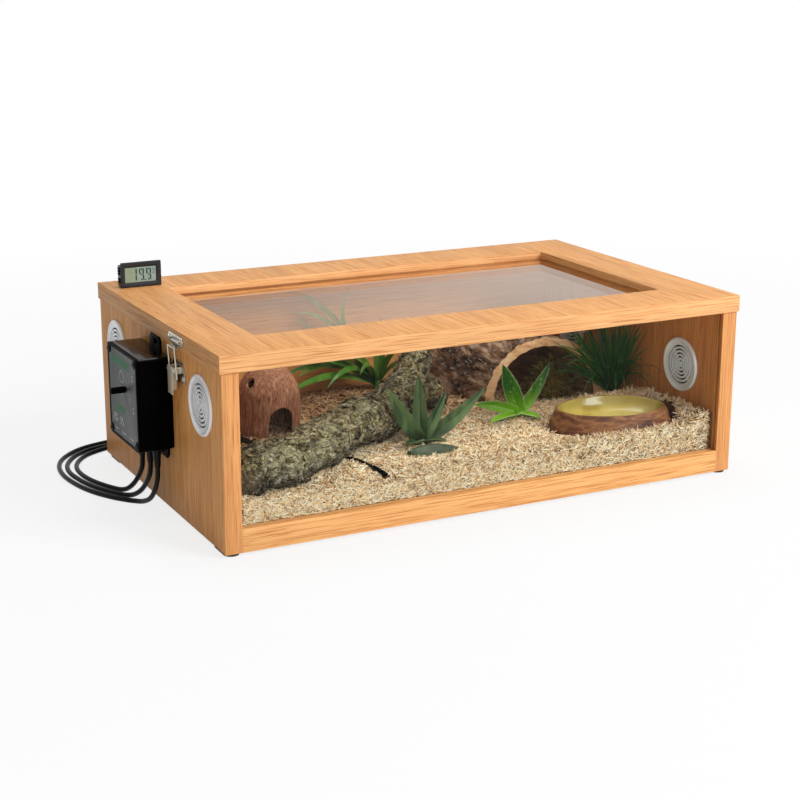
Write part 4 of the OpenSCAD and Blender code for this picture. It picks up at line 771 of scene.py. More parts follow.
def make_arch():
    across, along = 108, 60
    rings = []
    for i in range(along + 1):
        t = i / along
        cx, cy, hx, hy, h = (p + (q - p) * t for p, q in zip(ARCH_FRONT, ARCH_REAR))
        reach = hypot(hx, hy)

        def at(a, depth):
            k = (reach - depth) / reach
            return ARCH_CORNER + Vector((cx + hx * k * cos(a), cy + hy * k * cos(a),
                                         (h - depth) * sin(a)))
        outer, inner = [], []
        broken = min(i, along - i) < 3
        for j in range(across + 1):
            a = pi - pi * j / across
            q = at(a, 2)
            ridge = 2.6 * fbm((a * 40, t * 22, 2.0), 7, 4) + 1.5 * fbm(q, 8, 3)
            outer.append(at(a, max(0.0, 3.0 - ridge + 0.8 * broken)))
            ragged = 0.5 * fbm(q, 6, 2) if broken else 0
            inner.append(at(a, ARCH_WALL + 2 - 0.8 * fbm(q, 14, 3) + ragged))
        rings.append(outer + inner[::-1])
    build = Build()
    build.skin(rings, caps=False)
    n = 2 * (across + 1)
    for k in range(along):
        for j in range(n):
            build.slots[k * n + j] = 0 if j < across else 2 if k < 3 or k > along - 3 else 1
    for base in (0, along * n):
        build.faces += [(base + j, base + j + 1, base + n - 2 - j, base + n - 1 - j)
                        for j in range(across)]
        build.slots += [2] * across
    bark = Shader("arch_bark", 0.85, 0.2)
    ridges = bark.noise(bark.place((60, 18, 60), turn=-24), 5.0, 0.7)
    flakes = bark.noise(bark.place((260, 120, 260), turn=-24), 3.0, 0.7)
    tone = bark.ramp(ridges, (0.36, "160e0a"), (0.45, "503729"), (0.54, "8c684e"),
                     (0.64, "c8b098"))
    tone = bark.mix(bark.span(flakes, 0.54, 0.66, 0.0, 0.7), tone, "b0a294")
    bark.done(tone, bark.mix(0.5, ridges, flakes), 1.0, 0.003)
    inside = Shader("arch_hollow", 0.9, 0.15)
    grain = inside.noise((80, 22, 80), 3.0, 0.6)
    tone = inside.ramp(grain, (0.35, "543826"), (0.65, "966846"))
    inside.done(tone, grain, 0.4, 0.001)
    # The cut edge's tan is partly the cork's own and partly painted light, made lighter still for
    # an edge that the lid shades.
    cut = Shader("arch_cut_edge", 0.75, 0.2)
    grain = cut.noise((60, 60, 110), 4.0, 0.7)
    tone = cut.ramp(grain, (0.30, "ce9062"), (0.48, "fcc896"), (0.66, "ffe6c0"))
    cut.done(tone, grain, 0.5, 0.001)
    build.piece("bark_arch", [bark.mat, inside.mat, cut.mat], ["cork_arch"], "cork_bark", 70)


make_arch()


# ---------------- coconut hide
def make_hide():
    """The hide's solid in small faces, each point pushed along its normal by the husk's fibres."""
    solid = put("coconut_shell", NODES["coconut_hide"].data.copy())
    drop_normals(solid.data)
    solid.modifiers.new("weld", "WELD").merge_threshold = WELD
    remesh = solid.modifiers.new("remesh", "REMESH")
    remesh.mode, remesh.voxel_size = "VOXEL", 0.0011
    ready = solid.evaluated_get(bpy.context.evaluated_depsgraph_get())
    data = bpy.data.meshes.new_from_object(ready)
    bpy.data.objects.remove(solid)
    moved = []
    for q, normal in [(v.co / MM, v.normal.copy()) for v in data.vertices]:
        strand = 0.32 * fbm((q.x * 1.6, q.y * 1.6, q.z * 0.5), 5, 3) + 0.28 * fbm(q, 13, 2)
        moved.extend((q + normal * (strand - 0.3)) * MM)
    data.vertices.foreach_set("co", moved)
    data.materials.clear()
    s = Shader("coconut_shell", 0.7, 0.25)
    fibre = s.noise((420, 420, 60), 3.0, 0.7)
    tone = s.ramp(fibre, (0.30, "704631"), (0.50, "b0785a"), (0.70, "deac88"))
    clouds = s.span(s.noise(32, 3.0), 0.4, 0.65, 0.0, 0.4)
    mat = s.done(s.mix(clouds, tone, "7e523c"), fibre, 0.8, 0.0009)
    finish_piece("coconut_shell", data, [mat], ["coconut_hide"], "coconut_shell", 60)


make_hide()


# ---------------- plants
def leaf(build, at, foot, tip, rise, width, thick, steps, fold, facing=(-0.25, -0.6, 0.75),
         plump=0.0, teeth=0.0, swing=0.0, lying=False):
    """A blade of the plant at a point: folded like a strap, or plump and toothed like an aloe's."""
    foot, tip = at + Vector(foot), at + Vector(tip)
    side = Vector(facing).cross(tip - foot).normalized()
    mid = (foot + tip) / 2 + Vector((swing, 0, rise))
    path = [(1 - s) ** 2 * foot + 2 * s * (1 - s) * mid + s * s * tip
            for s in (k / steps for k in range(steps + 1))]
    rings = []
    for k, p in enumerate(path):
        s = k / steps
        half = width / 2 * max(0.05, 0.62 + 1.1 * s - 1.66 * s * s)
        if lying:
            half = width / 2 * max(0.03, sin(pi * s)) ** 0.6
        if s > 0.985:
            half = width * 0.02
        up = heading(path, k).cross(side)
        thin, dip = thick / 2 * max(0.15, 1 - 0.8 * s), fold * half
        top, under = up * (thin * 0.9 - dip * 0.55), up * (thin + plump * half * 0.5)
        rings.append([p + side * half, p + side * half * 0.5 + top, p + up * (thin * 0.6 - dip),
                      p - side * half * 0.5 + top, p - side * half, p - side * half * 0.55 - under,
                      p - up * (thin + plump * half * 0.75), p + side * half * 0.55 - under])
    build.skin(rings)
    for k in range(2, 2 * steps - 2) if teeth else ():
        s = k / (2 * steps)
        i = min(int(s * steps), steps - 1)
        d = (path[i + 1] - path[i]).normalized()
        for edge, sign in ((0, 1), (4, -1)):
            p = rings[i][edge].lerp(rings[i + 1][edge], s * steps - i)
            build.tube([p - side * sign * 0.4, p + side * sign * 0.3 * teeth,
                        p + side * sign * teeth + d * teeth * 0.8], [0.7, 0.5, 0.06], 4, 1)


def leaf_material(name, low, high, edge, rough=0.34, spots=False, foot=None):
    """A leaf's green, its veins and spots, and another tone near the ground: painted shade on the
    dark aloe, a paler base on the spotted one.
    """
    s = Shader(name, rough, 0.45)
    veins = s.noise((70, 70, 9), 3.0, 0.6)
    tone = s.mix(s.span(veins, 0.45, 0.7, 0.0, 0.35), s.mix(s.island(), low, high), edge)
    if spots:
        pale = s.span(s.cells(s.place((230, 230, 110))), 0.10, 0.20, 0.9, 0.0)
        tone = s.mix(pale, tone, "c4e2b0")
    if foot:
        z0, z1, colour, mode = foot
        tone = s.mix(s.span(s.axis("Z"), z0, z1, 0.8, 0.0), tone, colour, mode)
    s.set("Subsurface Weight", 0.08)
    s.set("Subsurface Radius", (0.002, 0.004, 0.001))
    return s.done(tone, veins, 0.15, 0.0006)


SPIDER_AT = Vector((-INNER_X + 316, BACK_INNER - 27, BED_TOP))
# Tips from the plant's foot, with the blade's rise, width and swing to the side
SPIDER_TIPS = (
    (-176, -55, 47, 56, 13, 0), (-139, -34, 16, 37, 14, 0), (-119, -34, 56, 42, 12, 0),
    (-136, 0.5, 132, 74, 11, 0), (-36, 0, 134, 14, 9, -51), (-108, 0, 106, 51, 9, 0),
    (-107, -4, 102, -13, 10, 0), (5, 0, 90, 4, 7, 0), (10, -5, 66, 14, 9, 0),
    (-150, -30, 34, 46, 11, 0), (-98, -10, 68, 40, 12, 0), (-62, -30, 50, 34, 13, 0),
    (-76, 8, 80, 30, 11, 0), (-88, -44, 22, 46, 12, 0), (-40, -34, 30, 40, 11, 0),
    (34, -30, 26, 36, 9, 0), (-52, 4, 74, 22, 10, 0), (6, -30, 50, 20, 10, 0),
    (-20, -36, 64, 16, 12, 0), (-116, -26, 36, 40, 12, 0), (-60, -20, 66, 26, 11, 0),
    (30, -10, 50, 30, 9, 0))


def make_spider_plant():
    build = Build()
    build.tube([SPIDER_AT + Vector(p) for p in ((0, 0, 0), (0, 0, 6), (-1, 0, 12))],
               [8, 6.5, 4.8], 20)
    for *tip, rise, width, swing in SPIDER_TIPS:
        leaf(build, SPIDER_AT, (0, 0, 5), tip, rise, width, 1.2, 18, 0.35, swing=swing)
    mat = leaf_material("spider_leaf", "225412", "549026", "98be54")
    build.piece("strap_leaf_plant", [mat], ["spider_plant"], "leaf", 50)


def make_aloe(name, node, at, tips, slot, teeth, tooth, tones, spots, foot):
    at, build = Vector(at), Build()
    build.tube([at + Vector((0, 0, z)) for z in (0, 5, 8)], [8.8, 7, 5], 20)
    for *tip, rise, width in tips:
        facing = (-0.45, -0.89, 0.1) if tip[2] > 20 else (0, 0, 1)
        leaf(build, at, (0, 0, 4.5), tip, rise, width, 3.2, 16, 0.46, facing, 0.65, teeth)
    if not spots:  # one leaf lies in front
        leaf(build, at, (-34, -34, 5.5), (24, -41, 5.0), 2, 15, 5, 18, 0.1, (0, -0.5, 0.86), 0.5,
             teeth, lying=True)
    mat = leaf_material(name + "_leaf", *tones, spots=spots, foot=foot)
    build.piece(name, [mat, plain(name + "_tooth", tooth)], [node], slot, 50)


# Grass blades that arch out of the tuft: tip and rise
GRASS_ARCHES = (
    (-64, -6, 66, 40), (-52, -22, 38, 40), (10, -80, 34, 40), (-46, -30, 52, 34),
    (-58, 10, 50, 30), (-30, -52, 30, 40), (6, -56, 58, 30), (-70, -14, 30, 34),
    (-84, -10, 58, 44), (-76, -26, 74, 30), (8, -96, 50, 44), (4, -70, 76, 26), (-22, -40, 8, 46),
    (-60, 20, 84, 20), (-76, -4, 44, 50), (-66, -34, 18, 52), (-48, -58, 44, 46),
    (12, -64, 22, 48), (-34, -70, 62, 36), (-80, 10, 70, 36), (-56, 12, 30, 56),
    (-40, -12, 20, 60), (12, -44, 44, 40), (-24, -62, 26, 50))


def make_grass(rng):
    build, at = Build(), Vector((INNER_X - 18, PANE_BACK + 174, BED_TOP))
    build.tube([at, at + Vector((0, 0, 9))], [5, 3], 16)
    for k in range(270):
        a = 2.39996 * k  # the golden angle
        c, s = cos(a), sin(a)
        spread, top = rng.uniform(6, 48), rng.uniform(24, 106)
        lean = 0.36 if c > 0 else 1.7
        leaf(build, at, (3.2 * c, 3.2 * s, 4), (spread * lean * c, spread * 1.5 * s, top),
             rng.uniform(4, 30), rng.uniform(1.8, 3.0), 0.5, 8, 0.4)
    for *tip, rise in GRASS_ARCHES:
        leaf(build, at, (0, 0, 5), tip, rise, 2.4, 0.5, 12, 0.4)
    mat = leaf_material("grass_blade", "0a3208", "2c7018", "568c2e", 0.4)
    build.piece("grass_tuft", [mat], ["grass_plant"], "leaf", 50)


def make_moss(rng):
    build, at = Build(), Vector((INNER_X - 79, BACK_INNER - 140, BED_TOP))

    def dome(a, t):
        """A point of the mound, at an angle and a share of its height."""
        s = max(0.05, cos(t * 1.5))
        return Vector((26.0 * cos(a) * s, 25.0 * sin(a) * s, 42.0 * t))
    rows = []
    for i in range(15):
        row = []
        for a in circle(48):
            q = dome(a, i / 14)
            r = 0.94 + 0.3 * fbm(q + Vector((9, 4, 2)), 15, 4)
            row.append(at + Vector((q.x * r, q.y * r, q.z)))
        rows.append(row)
    build.skin(rows)
    for _ in range(4200):
        a, t = rng.uniform(0, 6.283), rng.uniform(0, 1) ** 1.2
        p = at + dome(a, t)
        out = Vector((cos(a), sin(a), 0.4 + t)).normalized()
        bend = Vector((rng.gauss(0, 1), rng.gauss(0, 1), rng.gauss(0, 0.8)))
        long = rng.uniform(2.5, 9)
        half, tip = (out + bend * 0.4) * long * 0.5, (out * 0.6 + bend * 0.8) * long * 0.8
        build.tube([p, p + half, p + tip], [0.4, 0.35, 0.1], 3)
    s = Shader("dry_moss", 0.9, 0.15)
    tone = s.ramp(s.island(), (0.0, "26200c"), (0.35, "524a1a"), (0.7, "886c2e"),
                  (1.0, "bea65c"))
    mat = s.done(tone, s.noise(300), 0.6, 0.001)
    build.piece("moss_mound", [mat], ["moss_clump"], "dry_moss", 60)


make_spider_plant()
make_aloe("aloe_dark", "aloe_front", (-INNER_X + 256, PANE_BACK + 106, BED_TOP),
          ((-44, -8, 71, -8, 23), (-8, -9, 83, -2, 20), (28, -5, 58, -8, 17), (77, -6, 58, -12, 20),
           (-30, -24, 10, 6, 17), (20, -24, 8, 6, 16)), "leaf", 0.3, "54763e",
          ("143618", "769862", "96b27c"), False,
          # Painted shade: the dark aloe's leaves darken near the ground.
          (0.054, 0.070, "707060", "MULTIPLY"))
make_aloe("aloe_spotted", "aloe_middle", (INNER_X - 161, PANE_BACK + 152, BED_TOP),
          ((-26, -4, 66, 2, 23), (38, -4, 62, -8, 15), (-60, 0, 22, 6, 16), (-54, -26, 7, 6, 19),
           (8, -32, 6, 5, 18)), "leaf_light", 0.9, "b0ce8c",
          ("06420e", "227614", "78ba28"), True, (0.050, 0.084, "8cc818", "MIX"))
plant_rng = random.Random(23)
make_grass(plant_rng)
make_moss(plant_rng)


# ---------------- boards and glass
def panel_side(normal, middle):
    """Of a side board: its outer face, its edges and its inner face."""
    if abs(normal.x) < 0.7:
        return 1
    return 2 if normal.x * middle.x < 0 else 0


def end_grain(normal, middle):
    return 1 if abs(normal.x) > 0.7 else 0


def lid_edges(normal, middle):
    return 1 if abs(normal.y) > 0.7 else 0


# The inner_face veneer is a darker copy of the side veneer: painted shade inside the cabinet.
VENEERS = {name: veneer("veneer_" + name, *look) for name, look in {
    "side": ("e4a55f", "Z", 0.75), "inner_face": ("cc8c50", "Z", 0.75),
    "edge_band": ("e0a064", "Z", 0.5, 3.1), "lid": ("dca265", "Y", 0.5, 7.7),
    "lid_edge": ("eeb47a", "X", 0.5, 2.4), "rail": ("f0b574", "X", 0.5, 5.2),
    "back": ("e4a665", "X", 0.5, 1.3)}.items()}
for node, looks, bevel, slot, pick in (
        ("left_side_panel", "side edge_band inner_face", 0.6, "side", panel_side),
        ("right_side_panel", "side edge_band inner_face", 0.6, "side", panel_side),
        ("back_panel", "back edge_band", 0.5, "side", end_grain),
        ("floor_panel", "back edge_band", 0.4, "side", end_grain),
        ("front_rail", "rail edge_band", 0.6, "light", end_grain),
        ("lid_board", "lid lid_edge", 0.8, "light", lid_edges),
        # The glazing beads take the lighter rail veneer as painted light, against the shade of
        # their recess.
        ("glazing_beads", "rail", 0.5, "light", None)):
    dress(node, [VENEERS[look] for look in looks.split()], bevel, "oak_veneer_" + slot, pick)
paint("joint_dowels", veneer("beech_dowel", "d6b484", "X"))
paint("front_glass", clear_glass("front_pane", (0.97, 0.98, 0.97), 0.12))
# The lid pane's warm mirror tint and its mirroring rising to the right are painted reflection.
paint("lid_glass", clear_glass("lid_pane", (1.0, 0.98, 0.95), 0.99, (1.0, 0.87, 0.77), 0.45))

# ---------------- hardware
black_plastic = plain("black_moulding", "020202", 0.45, 0.02)
black_gloss = plain("black_moulding_top", "090502", 0.14, 0.18, bump=0.02)
bezel_plastic = plain("bezel_moulding", "28282c", 0.45, 0.25)
nickel = plain("nickel_plate", "beb8aa", 0.24, metal=1.0)
# The lever's paler, half-metallic copy of the nickel is painted light for a lever in the box's
# shade.
lever_metal = plain("lever_plate", "c8baa0", 0.4, metal=0.35)
vent_plastic = plain("vent_moulding", "f6f6f8", 0.3, 0.8, coat=0.5)
# The liner's bluish white is painted light, against the warm shade inside the wall.
liner_plastic = plain("vent_liner_moulding", "eaf3ff", 0.3, 0.8, coat=0.5)
# A dark disc behind the vents' slots: painted shade in them.
painted_slot_shade = plain("vent_painted_slot_shade", "282625", 0.8, 0.1, bump=0.3)
fascia = plain("fascia", "545856", 0.5, 0.25)
# Dark crosses on the screw heads: painted shade in their recesses.
recess = plain("screw_recess", "141312", 0.6, 0.1)
print_pale = plain("print_pale", "c4c8c6", 0.6, 0.2)
print_green = plain("print_green", "34764c", 0.6, 0.2)

for node, mats, bevel, slot, pick in (
        ("thermostat_case", [black_plastic, black_gloss], 1.1, "black_plastic",
         lambda n, m: 1 if n.z > 0.5 else 0),
        ("thermostat_cover", [fascia, black_plastic], 0.25, "fascia_plastic",
         lambda n, m: 0 if n.x < -0.7 and m.x > -0.3407 else 1),
        ("thermostat_bracket", [black_plastic], 0.4, "black_plastic", None),
        ("mains_plug", [black_plastic], 0.8, "black_plastic", None),
        ("inner_connector", [black_plastic], 0.4, "black_plastic", None)):
    dress(node, mats, bevel, slot, pick)
for part in ("latch_base", "latch_lever", "latch_keeper", "hinge_lower", "hinge_upper"):
    for hand in ("left", "right"):
        metal = lever_metal if part == "latch_lever" else nickel
        dress(f"{part}_{hand}", [metal], 0.22, "nickel_steel")
dress("cabinet_screws", [nickel, black_plastic], 0.12, "nickel_steel",
      lambda n, m: 1 if m.x < -0.3 and abs(m.y) < 0.05 else 0)
paint("latch_bail_left latch_bail_right lid_screws", nickel)
paint("feet cable_grommet", plain("foot_rubber", "2c221c", 0.7))
paint("sensor_probe", black_plastic)
paint("cover_screws", plain("cover_screw_head", "2c2d2c", 0.5, 0.2))
paint("mains_strain_relief heater_strain_relief sensor_strain_relief", rubber)
paint("thermostat_circuit_board", plain("circuit_board", "1e4e2c", 0.4))


def solids_of(node):
    """The points of each separate solid of a CAD node, in millimetres."""
    bm = bmesh.new()
    bm.from_mesh(NODES[node].data)
    bmesh.ops.remove_doubles(bm, verts=bm.verts, dist=WELD)
    left = set(bm.verts)
    for first in bm.verts:
        group, stack = [], [first] if first in left else []
        left -= {first}
        while stack:
            v = stack.pop()
            group.append(v.co / MM)
            near = {e.other_vert(v) for e in v.link_edges} & left
            left -= near
            stack += near
        if group:
            yield np.array(group)
    bm.free()


def cross_recesses(node, name, body="cabinet"):
    """A dark cross in the head of each screw of a node, painted shade for its recess, found from
    the screw's own points.
    """
    build = Build()
    for points in solids_of(node):
        low, high = points.min(0), points.max(0)
        middle, size = (low + high) / 2, high - low
        axis = size.argmax()
        across = [k for k in range(3) if k != axis]
        r = size[across[0]] / 2
        wide = points[np.abs(points - middle)[:, across].max(1) > 0.98 * r]
        out = 1 if wide[:, axis].mean() > middle[axis] else -1
        end = middle[axis] + out * size[axis] / 2
        for long, short in (across, across[::-1]):
            arm = np.array([middle, middle])
            arm[:, long] += (-0.52 * r, 0.52 * r)
            arm[:, short] += (-0.13 * r, 0.13 * r)
            arm[:, axis] = sorted((end - out * 0.3, end + out * 0.05))
            build.box(*arm.T.ravel())
    build.piece(name, [recess], slot="nickel_steel", body=body)


cross_recesses("cover_screws", "cover_screw_recesses")
cross_recesses("cabinet_screws", "cabinet_screw_recesses")
cross_recesses("lid_screws", "lid_screw_recesses", "lid")


# ---------------- printing and digits
SEGMENTS = {"0": "abcdef", "1": "bc", "2": "abdeg", "3": "abcdg", "5": "acdfg", "9": "abcdfg",
            "-": "g"}
RAISED = 0.08  # the print's thickness


def digits(build, text, corner, face, height, stroke, wide=0.52, pitch=0.78):
    """Seven-segment numbers as thin raised bars, from the lower left of the first."""
    width, step, gap = height * wide, height * pitch, stroke * 0.25
    right, up, out = face
    h, s, w = height, stroke, width
    shapes = {"a": (gap + s, w - s - gap, h - s, h), "b": (w - s, w, h / 2 + gap, h - gap),
              "c": (w - s, w, gap, h / 2 - gap), "d": (gap + s, w - s - gap, 0, s),
              "e": (0, s, gap, h / 2 - gap), "f": (0, s, h / 2 + gap, h - gap),
              "g": (gap + s, w - s - gap, (h - s) / 2, (h + s) / 2)}
    corner = Vector(corner)
    for char in text:
        if char == ".":
            spot = (width - step) / 2
            bars = [(spot - s * 0.4, spot + s * 0.4, 0, s * 0.8)]
        else:
            bars = [shapes[k] for k in SEGMENTS[char]]
        for a0, a1, b0, b1 in bars:
            ring = [corner + right * a + up * b
                    for a, b in ((a0, b0), (a1, b0), (a1, b1), (a0, b1))]
            build.skin([ring, [p + out * RAISED for p in ring]])
        if char != ".":
            corner = corner + right * step


def ring_mark(build, centre, face, r0, r1, start=0.0, sweep=360.0):
    centre = Vector(centre)
    right, up, out = face
    steps = max(4, int(sweep / 7))
    rings = []
    for k in range(steps + 1):
        a = radians(start + sweep * k / steps)
        d = right * cos(a) + up * sin(a)
        rings.append([centre + d * r0, centre + d * r1, centre + d * r1 + out * RAISED,
                      centre + d * r0 + out * RAISED])
    build.skin(rings)


FACE_X = -340.4  # the recessed front of the control box
# Right, up and outwards as one looks at the control box and at the thermometer
ON_CASE = Vector((0, -1, 0)), Vector((0, 0, 1)), Vector((-1, 0, 0))
ON_DISPLAY = Vector((1, 0, 0)), Vector((0, 0, 1)), Vector((0, -1, 0))


def make_printing():
    """Generic marks: a ring of ticks round the knob, numbers, bars and lamps."""
    b = Build()

    def ring(y, z, r0, r1, *arc):
        ring_mark(b, (FACE_X, y, z), ON_CASE, r0, r1, *arc)

    def number(text, y, z, height, stroke):
        digits(b, text, (FACE_X, y, z), ON_CASE, height, stroke)

    def bar(y0, y1, z0, z1, slot=0):
        b.box(FACE_X - RAISED, FACE_X, y0, y1, z0, z1, slot)

    ring(3, 142, 5.6, 6.4)
    for k in range(9):
        ring(-10, 131.5, 8.6 if k % 2 else 8.0, 9.8, 30 * k - 32.5, 5)
    number("20", 5.5, 122.0, 2.6, 0.45)
    number("35", -20.5, 122.0, 2.6, 0.45)
    number("20-35", 35, 88, 9.0, 1.5)
    for text, y in (("1", 34), ("2", 8), ("3", -18)):
        number(text, y, 79, 3.4, 0.8)
        bar(y - 12, y - 4, 80.0, 81.2)
    for z in (150, 116):
        ring(-33, z, 0.0, 1.3)
        bar(-36, -30, z - 4.2, z - 3.5)
        bar(-35, -31, z - 6.0, z - 5.3)
    for k in range(13):
        y = 34 - 4.6 * k
        bar(y - 1.6, y + 1.6, 154.6, 163 if k % 4 == 0 else 160.5, 1)
    bar(-22.8, 35.6, 152.6, 153.8, 1)
    for k in range(7):
        y = 22 - 4.2 * k
        bar(y - 1.7, y + 1.7, 103, 109, 1)
    b.piece("fascia_printing", [print_pale, print_green], slot="fascia_plastic")


make_printing()


# ---------------- thermometer
def make_thermometer():
    low, high = ([v / MM for v in p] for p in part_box("thermometer_body"))
    left, front, foot = low[0] + 0.2, low[1], low[2]
    wide, tall = 47.0, high[2] - low[2]
    body_box, window = (0, wide, 0, tall), (5.0, 41.0, 5.6, 22.4)

    def outline(box, grow, r, y):
        """A rounded oblong: a box grown all round, at a depth behind the front."""
        x0, x1, z0, z1 = box[0] - grow, box[1] + grow, box[2] - grow, box[3] + grow
        ring = []
        for cx, cz, a0 in ((x1 - r, z1 - r, 0), (x0 + r, z1 - r, 90), (x0 + r, z0 + r, 180),
                           (x1 - r, z0 + r, 270)):
            for a in (radians(a0 + 30 * k) for k in range(4)):
                ring.append((left + cx + r * cos(a), front + y,
                             foot + cz + r * sin(a)))
        return ring
    rear = (1.2, wide - 1.2, 0, tall - 4.6)
    body = Build()
    body.skin([outline(*row) for row in (
        (rear, 0, 0.8, 14.9), (rear, 0, 0.8, 2), (body_box, 0, 1.2, 2), (body_box, 0, 1.2, 0.6),
        (body_box, -0.5, 1.0, 0), (window, 2.2, 0.9, 0), (window, 1.9, 0.7, 0.45),
        (window, 0.3, 0.4, 0.6), (window, 0, 0.3, 1.1), (window, 0, 0.3, 1.7))])
    for z in (6.5, 9.5, 15.5, 18.5, 21.5):
        for x in (0, wide):
            body.box(left + x - 1.0, left + x + 1.0, front + 3.2, front + 9.5, foot + z - 0.9,
                     foot + z + 0.9, 1)
    body.piece("thermometer_body_finished", [bezel_plastic, black_plastic], ["thermometer_body"],
               "black_plastic", bevel=0.12, body="lid")
    pane = Build()
    pane.skin([outline(window, 0, 0.3, 1.65), outline(window, 0, 0.3, 1.2)])
    s = Shader("liquid_crystal_pane", 0.2, 0.4)
    across = s.span(s.axis("X"), (left + 14) * MM, (left + 22) * MM)
    tone = s.mix(across, "8c9e86", "8aa49e")
    haze = s.span(s.noise(60), 0.3, 0.7, 0.0, 0.35)
    mat = s.done(s.mix(haze, tone, "a4b6a4"), s.noise(900, 1.0), 0.04, 0.0002)
    pane.piece("thermometer_display_pane", [mat], ["thermometer_display"], "display", body="lid")
    d = Build()
    digits(d, "19.9", (left + 13.0, front + 1.2, foot + 7.1), ON_DISPLAY, 13.8, 1.75, 0.43, 0.6)
    ring_mark(d, (left + 38.2, front + 1.2, foot + 19.0), ON_DISPLAY, 0.5, 0.95)
    ring_mark(d, (left + 38.8, front + 1.2, foot + 15.4), ON_DISPLAY, 1.1, 1.6, 50, 260)
    d.piece("display_digits", [plain("liquid_crystal", "28382e", 0.4)], slot="display",
            body="lid")


make_thermometer()


# ---------------- vents
VENT_ROWS = ((-1, 132.0, 140.5), (1, 116.0, 110.5))  # the wall's side, its two vents' place
VENT_PITCH, VENT_SLOT, VENT_FACE = 4.3, 1.9, 1.2


def make_vents(name, node, mat, wall_x, outward, rim):
    """Round vents with ring slots, ridges between them, and a dark disc behind them as painted
    shade in the slots.
    """
    build = Build()
    edge = 5 * VENT_PITCH + VENT_SLOT / 2
    for side, y, z in ((side, y, z) for side, offset, z in VENT_ROWS for y in (-offset, offset)):
        def turn(profile, slot=0):
            build.skin([[(side * wall_x + side * outward * h, y + r * cos(a),
                          z + r * sin(a)) for r, h in profile] for a in circle(96)],
                       slot, loop=True)
        turn([(31, 0.03), (31, rim - 1.2), (30.5, rim - 0.4), (29.6, rim), (28.8, rim - 0.2),
              (27.6, rim - 1.0), (26.4, VENT_FACE + 0.05), (edge, VENT_FACE), (edge, -0.8),
              (24.3, -0.8), (24.3, 0.03)])
        for k in range(5):
            r0 = k * VENT_PITCH + VENT_SLOT / 2 if k else 0.05
            r1 = (k + 1) * VENT_PITCH - VENT_SLOT / 2
            turn([(r0, -0.8), (r0, VENT_FACE - 0.2), (r0 + 0.35, VENT_FACE + 0.1),
                  (r1 - 0.35, VENT_FACE + 0.1), (r1, VENT_FACE - 0.2), (r1, -0.8)])
        # The dark disc behind the slots, painted shade in them.
        turn([(0.05, -0.85), (24.2, -0.85), (24.2, -1.6), (0.05, -1.6)], 1)
        for spoke in circle(4, radians(45)):
            c, s = cos(spoke), sin(spoke)
            build.skin([[(side * wall_x + side * outward * h, y + r * c - q * s, z + r * s + q * c)
                         for q, h in ((-0.8, -0.8), (0.8, -0.8), (0.8, 0.5), (-0.8, 0.5))]
                        for r in (0.5, edge + 0.2)])
    build.piece(name, [mat, painted_slot_shade], [node], "grey_plastic", 40)


make_vents("vent_grilles_finished", "vent_grilles", vent_plastic, 303.0, 1, 2.5)
make_vents("vent_liners_finished", "vent_liners", liner_plastic, 285.0, -1, 3.0)


# ---------------- knob and coil tie
def make_knob():
    """A fluted cap on a narrower neck, with a pointer line."""
    (x0, y0, z0), (x1, y1, z1) = ([v / MM for v in p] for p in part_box("thermostat_knob"))
    y, z, r, face = (y0 + y1) / 2, (z0 + z1) / 2, (z1 - z0) / 2, -341.4
    rings = []
    for x, share, flute in ((x1, 0.45, 0), (face - 0.02, 0.45, 0), (face - 0.02, 0.98, 0),
                            (face - 0.6, 1.0, 0.3), (x0 + 1.6, 1.0, 0.3), (x0 + 0.5, 0.97, 0.2),
                            (x0, 0.86, 0), (x0, 0.5, 0), (x0 + 0.4, 0.4, 0)):
        ring = []
        for j, a in enumerate(circle(96)):
            q = r * share * (1 - 0.07 * flute / 0.3 * (j % 4 in (0, 1)))
            ring.append((x, y + q * cos(a), z + q * sin(a)))
        rings.append(ring)
    b = Build()
    b.skin(rings)
    b.box(x0 - 0.02, x0 + 0.3, y - 0.3, y + 0.3, z + 0.5 * r, z + 0.85 * r, 1)
    b.piece("knob_finished", [black_plastic, print_pale], ["thermostat_knob"], "black_plastic",
            body="thermostat_knob")


def make_tie():
    """The strap that holds the stored coil together."""
    middle = COIL_PITCH * COIL_TURNS / 2 / MM
    centre = COIL_AT / MM + Vector((0, COIL_R / MM, middle))
    half_y, half_z = LEAD_D / 2 / MM + 0.5, middle + LEAD_D / 2 / MM + 0.3
    rings = []
    for a in circle(40):
        c, s = (copysign(abs(v) ** n, v) for v, n in ((cos(a), 0.5), (sin(a), 0.35)))
        near = centre + Vector((0, half_y * c, half_z * s))
        far = centre + Vector((0, (half_y + 0.8) * c, (half_z + 0.7) * s))
        half_x = Vector((4.5, 0, 0))
        rings.append([near - half_x, near + half_x, far + half_x, far - half_x])
    b = Build()
    b.skin(rings, loop=True)
    return b.piece("coil_tie", [plain("strap", "1e1e20", 0.8, grain=1800, bump=0.4)],
                   slot="cable_rubber")


make_knob()
coil_tie = make_tie()

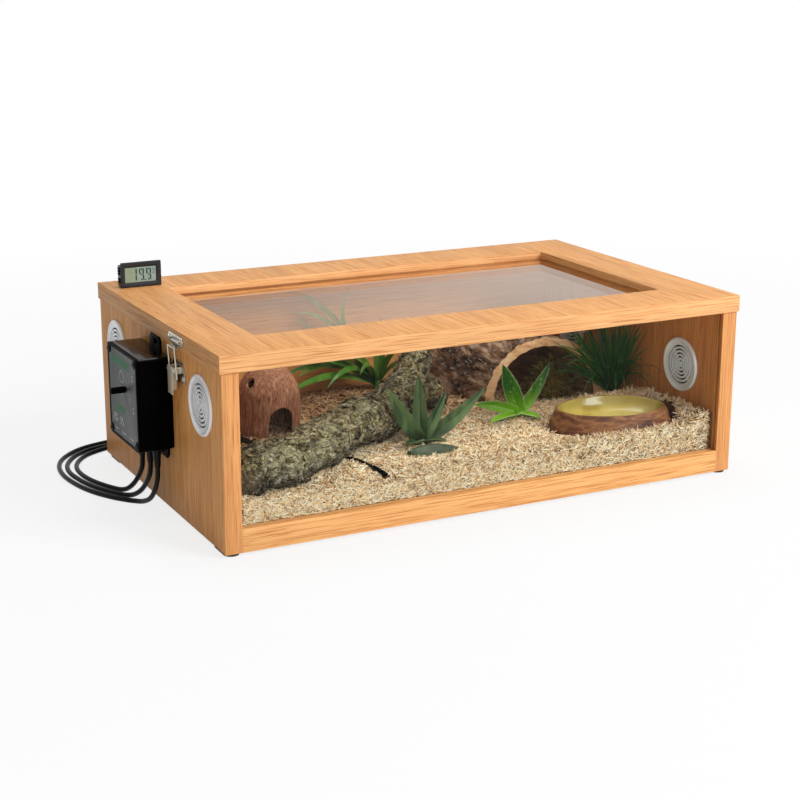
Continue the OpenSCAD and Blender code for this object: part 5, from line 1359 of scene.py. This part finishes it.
for name, end, lay, mates in (
        ("mains", "plug", "coiled", ["mains_plug_finished", coil_tie]),
        ("heater", "object", "loose", None), ("sensor", "object", "loose", None),
        ("inner_heater", "connector", "loose", ["inner_connector_finished"]),
        ("inner_probe", "fitting", "loose", ["sensor_probe"])):
    line = LINES[name]
    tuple(ROUTES[name][0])
    sum((b - a).length for a, b in zip(line, line[1:]))
    PROBE_LEAD_D if name == "inner_probe" else LEAD_D


# ---------------- stage and light
def make_stage():
    """A white ground, shaded near the part and fading to plain white."""
    mesh = bpy.data.meshes.new("floor")
    mesh.from_pydata([(-30, -30, 0), (30, -30, 0), (30, 30, 0), (-30, 30, 0)], [], [(0, 1, 2, 3)])
    floor = put("floor", mesh)
    floor.location.z = -0.0005
    mat = bpy.data.materials.new("floor_white")
    g = Graph(mat)
    reach = g.add("VectorMath", {0: g.add("TexCoord").outputs["Object"]}, operation="LENGTH")
    fade = g.span(reach.outputs["Value"], 0.5, 1.5, 0.8, 1.0, "LINEAR")
    g.show("OutputMaterial", g.calc("MULTIPLY", g.light_path()[1], fade),
           g.add("BsdfDiffuse", {"Color": (0.78, 0.78, 0.78)}), g.add("Emission"))
    mesh.materials.append(mat)


def make_world(strength):
    """Soft light, and white to the camera; what the panes mirror is a little less bright."""
    world = bpy.context.scene.world or bpy.data.worlds.new("world")
    bpy.context.scene.world = world
    g = Graph(world)
    camera_ray, seen = g.light_path()
    feeds = {"Color": (1, 1, 1), "Strength": g.calc("MULTIPLY_ADD", camera_ray, 0.2, 0.8)}
    g.show("OutputWorld", seen, g.add("Background", {"Strength": strength}),
           g.add("Background", feeds))


def area_light(name, place, aim, size, power):
    data = bpy.data.lights.new(name, "AREA")
    data.size, data.energy = size, power
    lamp = put(name, data)
    lamp.location = place
    lamp.rotation_mode = "QUATERNION"
    lamp.rotation_quaternion = (Vector(aim) - Vector(place)).to_track_quat("-Z", "Y")


make_stage()
make_world(0.28)
area_light("key", (1.6, -2.4, 2.2), (0, 0, 0.1), 1.5, 94)
area_light("fill", (-0.5, -2.9, 1.15), (0, 0, 0.12), 1.2, 16)
area_light("top", (0.2, 0.3, 2.8), (0, 0, 0.1), 1.6, 38)
bpy.context.scene.view_settings.view_transform = "Standard"
